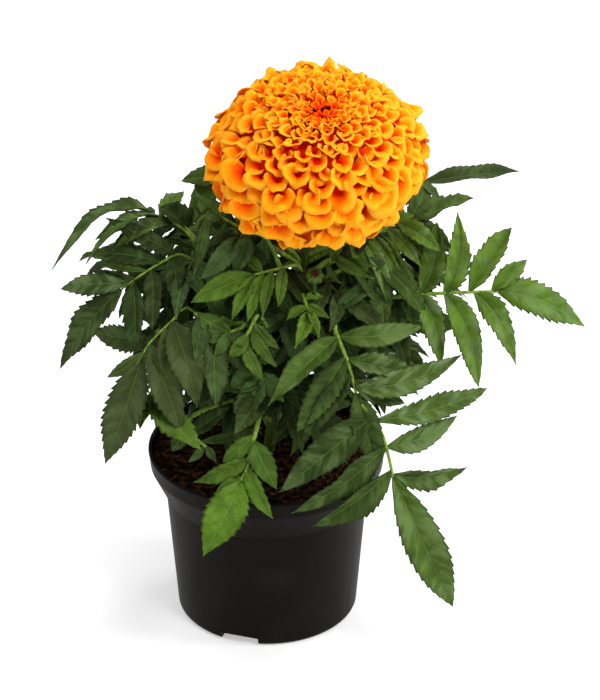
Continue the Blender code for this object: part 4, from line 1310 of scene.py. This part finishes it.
@dataclass
class Pot:
    """The round nursery pot, turned from its wall's profile."""

    rim_radius: float = 60.0
    height: float = 92.0
    lip_drop: float = 9.0
    lip_taper: float = 1.0
    shoulder_radius: float = 52.4
    shoulder_height: float = 69.0
    shoulder_step: float = 1.0
    base_radius: float = 46.2
    corner_radius: float = 3.0
    wall: float = 1.4
    floor_top: float = 4.6
    foot_recess: float = 2.2
    foot_width: float = 5.0
    pad_radius: float = 11.0
    notch_count: int = 3
    notch_width: float = 20.0
    notch_height: float = 5.5
    notch_depth: float = 7.0
    notch_first_angle: float = 252.0
    notch_corner: float = 1.6
    hole_radius: float = 4.0
    hole_circle: float = 27.0
    hole_depth: float = 20.0
    sharp_angle: float = 38.0

    SEGMENTS = 144

    @staticmethod
    def arc(
        radius: float, height: float, size: float, start: float, end: float, steps: int = 6,
    ) -> list[tuple[float, float]]:
        """Points of a rounded corner about (radius, height), from one angle in degrees to another."""
        turns = [math.radians(start + (end - start) * step / steps) for step in range(steps + 1)]
        return [(radius + size * math.cos(turn), height + size * math.sin(turn)) for turn in turns]

    def profile(self) -> list[tuple[float, float]]:
        """Draw the wall's outline. Its steps of under 3 mm are the softened edges of the moulding.

        Returns:
            Points as (radius, height), from the middle of the underside round to the middle of the floor.
        """
        lip_bottom = self.height - self.lip_drop
        lip_radius = self.rim_radius - self.lip_taper
        body_top = self.shoulder_radius - self.shoulder_step
        foot = self.base_radius - self.corner_radius
        rows = [(0.0, 0.0), (self.pad_radius - 0.5, 0.0), (self.pad_radius, 0.3)]
        rows += [(self.pad_radius + 1.0, self.foot_recess), (foot - self.foot_width - 1.0, self.foot_recess)]
        rows += [(foot - self.foot_width, 0.3), (foot - self.foot_width + 0.6, 0.0)]
        rows += self.arc(foot, self.corner_radius, self.corner_radius, -90, 0)
        rows += [(body_top - 0.1, self.shoulder_height - 2.2), (body_top, self.shoulder_height - 1.6)]
        rows += [(self.shoulder_radius - 0.3, self.shoulder_height - 1.1)]
        rows += [(self.shoulder_radius, self.shoulder_height), (lip_radius - 0.5, lip_bottom - 1.0)]
        rows += [(lip_radius, lip_bottom), (lip_radius + 0.2, lip_bottom + 1.2)]
        rows += [(self.rim_radius - 0.25, self.height - 2.2), (self.rim_radius, self.height - 1.4)]
        rows += self.arc(self.rim_radius - 0.9, self.height - 0.9, 0.9, 0, 180, 8)
        rows += [(lip_radius - self.wall, lip_bottom - 1.5)]
        rows += [(self.shoulder_radius - self.wall, self.shoulder_height)]
        rows += [(body_top - self.wall, self.shoulder_height - 2.0)]
        return rows + [(self.base_radius - self.wall, self.floor_top), (0.0, self.floor_top)]

    def cut(self, pot: Object, cutter: BMesh) -> None:
        """Cut a closed shape away from the pot.

        Args:
            pot: The pot's object.
            cutter: The shape, as a bmesh in millimetres, which is freed.
        """
        tool = finish_mesh("pot_cutter", cutter, ())
        change = pot.modifiers.new("Cut", "BOOLEAN")
        change.operation = "DIFFERENCE"
        change.solver = "EXACT"
        change.object = tool
        bpy.context.view_layer.update()
        apply_modifiers(pot)
        bpy.data.objects.remove(tool, do_unlink=True)

    def build(self, plastic: Material) -> Object:
        """Model the pot with its corner notches and drain holes.

        Args:
            plastic: The pot's finish.

        Returns:
            The pot's object.
        """
        work = bmesh.new()
        lathe(work, self.profile(), self.SEGMENTS)
        pot = finish_mesh("nursery_pot", work, (plastic,))
        for index in range(self.notch_count):
            turn = math.radians(self.notch_first_angle + 360.0 * index / self.notch_count)
            notch = bmesh.new()
            bmesh.ops.create_cube(notch, size=1.0, matrix=(
                Matrix.Rotation(turn, 4, "Z") @ Matrix.Translation((self.base_radius, 0, 0))
                @ Matrix.Diagonal((2 * self.notch_depth, self.notch_width, 2 * self.notch_height, 1.0))
            ))
            upright = [
                edge for edge in notch.edges
                if all(vertex.co.z > 0 for vertex in edge.verts)
                and abs(edge.verts[0].co.to_2d().length - edge.verts[1].co.to_2d().length) > 1.0
            ]
            bmesh.ops.bevel(
                notch, geom=upright, offset=self.notch_corner, segments=4, profile=0.5,
                affect="EDGES", material=-1,
            )
            self.cut(pot, notch)
            across = turn + math.pi / self.notch_count
            place = self.hole_circle * Vector((math.cos(across), math.sin(across), 0.0))
            hole = bmesh.new()
            bmesh.ops.create_cone(
                hole, cap_ends=True, segments=32, radius1=self.hole_radius, radius2=self.hole_radius,
                depth=self.hole_depth, matrix=Matrix.Translation(place),
            )
            self.cut(pot, hole)
        pot.data.set_sharp_from_angle(angle=math.radians(self.sharp_angle))
        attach(pot, "root")
        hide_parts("pot")
        return pot


@dataclass
class Soil:
    """Potting soil with a lumpy crumbling top, filled almost to the brim."""

    level: float = 87.5
    walls: tuple[tuple[float, float], ...] = (
        (57.6, 87.0), (57.2, 82.0), (50.4, 69.0), (49.4, 66.5), (44.2, 5.2),
    )
    lumps: float = 1.3
    grains: float = 0.8
    edge_drop: float = 1.4
    edge_share: float = 0.14
    rings: int = 34
    segments: int = 120
    crumb_count: int = 520
    seed: int = 3

    NOISE_LEVEL = 3.7
    LUMP_SCALE = 0.085
    GRAIN_SCALE = 0.55
    CRUMB_CIRCLE = 0.96
    CRUMB_SIZE = (0.35, 1.5)
    CRUMB_WEAR = (0.5, 1.0)
    CRUMB_LENGTH = (0.8, 1.9)
    CRUMB_HEIGHT = 0.7
    CRUMB_LIFT = 0.25
    CRUMB_DENTS = 0.25
    CRUMB_DENT_SCALE = 1.3

    def height(self, x: float, y: float) -> float:
        """Work out the height of the soil's surface, which sinks a little at the wall.

        Args:
            x: Place along X.
            y: Place along Y.

        Returns:
            The height above the pot's foot.
        """
        place = Vector((x, y, self.NOISE_LEVEL))
        lumps = noise.fractal(place * self.LUMP_SCALE, 1.0, 2.0, 4)
        grains = noise.fractal(place * self.GRAIN_SCALE, 0.8, 2.1, 4)
        share = math.hypot(x, y) / self.walls[0][0]
        edge = max(0.0, share - (1.0 - self.edge_share)) / self.edge_share
        return self.level + self.lumps * lumps + self.grains * grains - self.edge_drop * edge

    def build(self, earth: Material) -> Object:
        """Model the soil and the loose crumbs on it.

        Args:
            earth: The soil's finish.

        Returns:
            The soil's object.
        """
        work = bmesh.new()
        rim = self.walls[0][0]
        outline = [(rim * ring / self.rings, self.level) for ring in range(self.rings + 1)]
        outline += [*self.walls, (0.0, self.walls[-1][1])]
        lathe(work, outline, self.segments)
        for vertex in work.verts:
            if vertex.co.z > self.level - 0.2:
                vertex.co.z = self.height(vertex.co.x, vertex.co.y)
        chance = random.Random(self.seed)
        for _ in range(self.crumb_count):
            self.add_crumb(work, chance)
        bmesh.ops.recalc_face_normals(work, faces=work.faces[:])
        soil = finish_mesh("potting_soil", work, (earth,))
        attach(soil, "root")
        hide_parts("soil")
        return soil

    def add_crumb(self, work: BMesh, chance: random.Random) -> None:
        """Drop one crumb on the surface.

        Args:
            work: The bmesh of the soil.
            chance: The source of its place, turn and size.
        """
        out = self.walls[0][0] * self.CRUMB_CIRCLE * math.sqrt(chance.random())
        around = chance.uniform(0.0, math.tau)
        x, y = out * math.cos(around), out * math.sin(around)
        size = chance.uniform(*self.CRUMB_SIZE) * chance.uniform(*self.CRUMB_WEAR)
        place = Matrix.Translation((x, y, self.height(x, y) + self.CRUMB_LIFT * size))
        turn = Matrix.Rotation(chance.uniform(0, 6.28), 4, Vector((chance.random(), chance.random(), 0.3)))
        length = size * chance.uniform(*self.CRUMB_LENGTH)
        shape = Matrix.Diagonal((length, size, size * self.CRUMB_HEIGHT, 1.0))
        whole = place @ turn @ shape
        for vertex in bmesh.ops.create_icosphere(work, subdivisions=1, radius=1.0, matrix=whole)["verts"]:
            dent = noise.noise_vector(vertex.co * self.CRUMB_DENT_SCALE)
            vertex.co += self.CRUMB_DENTS * size * dent


@dataclass
class Stems:
    """Main stem, side branches, the cup under the head and the bud.

    A line's points hold (x, y, z, radius), and the cup's heights are measured from the head's centre.
    """

    head: Head
    trunk: Line = (
        (0, 0, 60, 3.0), (0, 0, 70, 3.0), (0, 0, 79, 3.0), (3.5, 0, 106, 2.8),
        (9, 0, 140, 2.6), (16, 0, 174, 2.4), (19.5, 1, 198, 2.3),
    )
    branches: tuple[Line, ...] = (
        ((7, 0, 124, 1.9), (-7, -3, 142, 1.9), (-24, -5, 168, 1.9), (-34, -6, 194, 1.7),
         (-34, -5, 210, 1.2)),
        ((11, 0, 146, 1.8), (24, 2, 158, 1.8), (38, 5, 176, 1.7), (48, 6, 196, 1.5)),
        ((8, 0, 132, 1.9), (5, 14, 148, 1.9), (-1, 28, 172, 1.8), (-3, 34, 196, 1.5)),
    )
    cup_top: float = -28.0
    cup_height: float = 20.0
    cup_radius: float = 11.5
    bud_centre: Point = (24.0, -31.0, 203.0)
    bud_lean: float = 38.0
    bud_radius: float = 4.2
    bud_stalk: Line = ((12.3, 0, 157, 1.1), (17, -14, 168, 1.0), (23, -26, 185, 1.0), (24, -31, 203, 1.0))

    RIDGE = 0.10
    CUP_SEGMENTS = 72
    CUP_RIBS = 9.0
    CUP_RIB_HEIGHT = 0.45
    BUD_RIBS = 8.0
    BUD_TIP = 3.6
    BUD_FOOT = 5.0
    BUD_SINK = 0.8

    def build(self, green: Material, tip: Material) -> list[Object]:
        """Model every stalk.

        Args:
            green: The stalks' finish.
            tip: The bud's finish.

        Returns:
            The stem, the cup and the bud.
        """
        place = self.head.matrix()
        foot = self.cup_top - self.cup_height
        ends = tuple((*(place @ Vector((0, 0, foot - drop))), 2.4) for drop in (6.0, 0.0))
        work = bmesh.new()
        sweep(work, spline(self.trunk + ends, 60), 14, self.RIDGE)
        for branch in self.branches:
            sweep(work, spline(branch, 40), 12, self.RIDGE)
        stem = finish_mesh("branched_stem", work, (green,))
        cup = self.build_cup(green)
        bud = self.build_bud(tip)
        for item, node in ((stem, "stem"), (cup, "calyx"), (bud, "bud")):
            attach(item, "root")
            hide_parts(node)
        return [stem, cup, bud]

    def build_cup(self, green: Material) -> Object:
        """Model the ribbed cup under the head.

        Args:
            green: The cup's finish.

        Returns:
            The cup's object.
        """
        top, radius = self.cup_top, self.cup_radius
        bottom = top - self.cup_height
        work = bmesh.new()
        outline = [(0.0, bottom), (2.4, bottom), (3.2, bottom + 1.8), (5.2, bottom + 4.5)]
        outline += [(8.2, bottom + 8.0), (10.2, bottom + 13.0), (radius, top), (radius - 1.0, top + 0.6)]
        lathe(work, outline + [(9.6, top - 1.0), (0.0, top - 3.0)], self.CUP_SEGMENTS)
        for vertex in work.verts:
            out = vertex.co.to_2d().length
            if out > 4.0:
                rib = math.cos(self.CUP_RIBS * math.atan2(vertex.co.y, vertex.co.x))
                vertex.co += self.CUP_RIB_HEIGHT * rib * Vector((vertex.co.x, vertex.co.y, 0.0)) / out
        bmesh.ops.transform(work, matrix=self.head.matrix(), verts=work.verts[:])
        return finish_mesh("bloom_cup", work, (green,))

    def build_bud(self, green: Material) -> Object:
        """Model the ribbed bud on its stalk.

        Args:
            green: The bud's finish.

        Returns:
            The bud's object.
        """
        work = bmesh.new()
        marks_layer = work.loops.layers.float_color.new("bud_marks")
        sweep(work, spline(self.bud_stalk, 24), 10)
        write_marks(marks_layer, dict.fromkeys(work.verts, (0.5, 0.0, 0.0, 1.0)))
        ball = bmesh.ops.create_uvsphere(work, u_segments=40, v_segments=24, radius=1.0)["verts"]
        marks = {}
        for vertex in ball:
            x, y, z = vertex.co
            out = math.hypot(x, y)
            ring = math.cos(self.BUD_RIBS * math.atan2(y, x)) * out
            marks[vertex] = ((z + 0.14 * ring) * 0.5 + 0.5, 0.0, 0.0, 1.0)
            ridge = self.bud_radius * (1.0 + 0.09 * ring)
            half = self.BUD_TIP - self.BUD_SINK * math.exp(-((out / 0.42) ** 2)) if z > 0 else self.BUD_FOOT
            vertex.co = Vector((ridge * x, ridge * y, half * z))
        write_marks(marks_layer, marks)
        lean = Matrix.Rotation(math.radians(self.bud_lean), 4, "X")
        bmesh.ops.transform(work, matrix=Matrix.Translation(self.bud_centre) @ lean, verts=ball)
        return finish_mesh("young_bud", work, (green,))


class Lamp(NamedTuple):
    """One soft square light: its place and size in millimetres and its power in watts."""

    name: str
    place: Point
    size: float
    power: float


@dataclass
class Studio:
    """Pale floor, soft lights and the camera at the photograph's angle."""

    aim: Vector = field(default_factory=lambda: Vector((16.9, 0.0, 146.0)))
    distance: float = 1500.0
    elevation: float = 28.2
    lens: float = 154.7
    sensor: float = 36.0
    sky_strength: float = 0.32
    floor_size: float = 4000.0
    floor_grey: float = 0.72
    floor_glow: float = 0.42
    floor_drop: float = 0.2
    lamps: tuple[Lamp, ...] = (
        Lamp("key", (650, -900, 1350), 400, 11.0),
        Lamp("side", (1400, -300, 1000), 500, 12.0),
        Lamp("fill", (-1150, -700, 900), 700, 3.5),
        Lamp("top", (-100, 250, 1700), 1300, 15.0),
        Lamp("rear", (950, 800, 800), 600, 7.0),
    )

    def build(self) -> None:
        """Set up the sky, the floor, the lights and the camera."""
        scene = bpy.context.scene
        scene.view_settings.view_transform = "Standard"
        world = bpy.data.worlds.new("studio_white")
        world.use_nodes = True
        background = world.node_tree.nodes["Background"]
        background.inputs["Color"].default_value = (1.0, 1.0, 1.0, 1.0)
        background.inputs["Strength"].default_value = self.sky_strength
        scene.world = world
        work = bmesh.new()
        bmesh.ops.create_grid(work, x_segments=1, y_segments=1, size=self.floor_size)
        paint = Paint("floor")
        paint.set(
            Base_Color=(self.floor_grey,) * 3, Roughness=0.9, Specular_IOR_Level=0.1,
            Emission_Color=(1.0, 1.0, 1.0), Emission_Strength=self.floor_glow,
        )
        floor = finish_mesh("floor", work, (paint.material,))
        floor.location.z = -MM * self.floor_drop
        for lamp in self.lamps:
            light = bpy.data.lights.new(lamp.name, "AREA")
            light.size = MM * lamp.size
            light.energy = lamp.power
            self.point_at_plant(lamp.name, light, Vector(lamp.place))
        camera = bpy.data.cameras.new("camera")
        camera.lens = self.lens
        camera.sensor_width = self.sensor
        tilt = math.radians(self.elevation)
        away = Vector((0.0, -math.cos(tilt), math.sin(tilt)))
        scene.camera = self.point_at_plant("camera", camera, self.aim + self.distance * away)

    def point_at_plant(self, name: str, data: Camera | Light, place: Vector) -> Object:
        """Set up a light or the camera so that it looks at the plant.

        Args:
            name: The object's name.
            data: The light or camera.
            place: Where it stands, in millimetres.

        Returns:
            The object.
        """
        made = bpy.data.objects.new(name, data)
        made.location = MM * place
        made.rotation_euler = (self.aim - place).to_track_quat("-Z", "Y").to_euler()
        bpy.context.scene.collection.objects.link(made)
        return made


def main() -> None:
    """Build every piece in order and report it."""
    logging.basicConfig(level=logging.INFO, format="%(message)s")
    noise.seed_set(NOISE_SEED)
    Studio().build()
    leaf = LeafFinish(
        "leaf", painted_deep_shade=(0.009, 0.017, 0.002), old=(0.028, 0.052, 0.005), young=(0.078, 0.178, 0.004),
        vein=(0.300, 0.480, 0.060), edge=(0.009, 0.016, 0.002), olive=(0.038, 0.050, 0.010),
        cool=(0.021, 0.058, 0.013), painted_sheen=(0.195, 0.265, 0.110),
    ).make()
    under = LeafFinish(
        "leaf_under", painted_deep_shade=(0.018, 0.032, 0.007), old=(0.045, 0.080, 0.016), young=(0.100, 0.200, 0.015),
        vein=(0.120, 0.220, 0.035), edge=(0.024, 0.042, 0.009), olive=(0.070, 0.088, 0.034),
        cool=(0.045, 0.095, 0.035), painted_sheen=(0.150, 0.210, 0.090),
        roughness=0.62, relief=0.5, gloss=0.05, coat=0.1,
    ).make()
    stalk = StalkFinish("stalk", (0.120, 0.220, 0.018), (0.280, 0.450, 0.060)).make()
    stem = StalkFinish("stem", (0.045, 0.090, 0.009), (0.090, 0.170, 0.018)).make()
    # The inner fronds' ribs are darker: painted shade inside the foliage.
    painted_shade_stalk = StalkFinish("painted_shade_stalk", (0.026, 0.050, 0.006), (0.052, 0.096, 0.012)).make()
    head = Head()
    pieces = [Pot().build(PotFinish().make()), Soil().build(SoilFinish().make())]
    pieces += Stems(head).build(stem, BudFinish().make())
    pieces += head.build(PetalFinish().make())
    for frond in (*FRONDS, *EXTRA_FRONDS, *(frond for thicket in THICKETS for frond in thicket.fronds())):
        pieces.append(frond.build(leaf, under, painted_shade_stalk if frond.detail is Detail.COARSE else stalk))
    for piece in pieces:
        LOG.info("%s: %d faces", piece.name, len(piece.data.polygons))


if __name__ == "__main__":
    main()
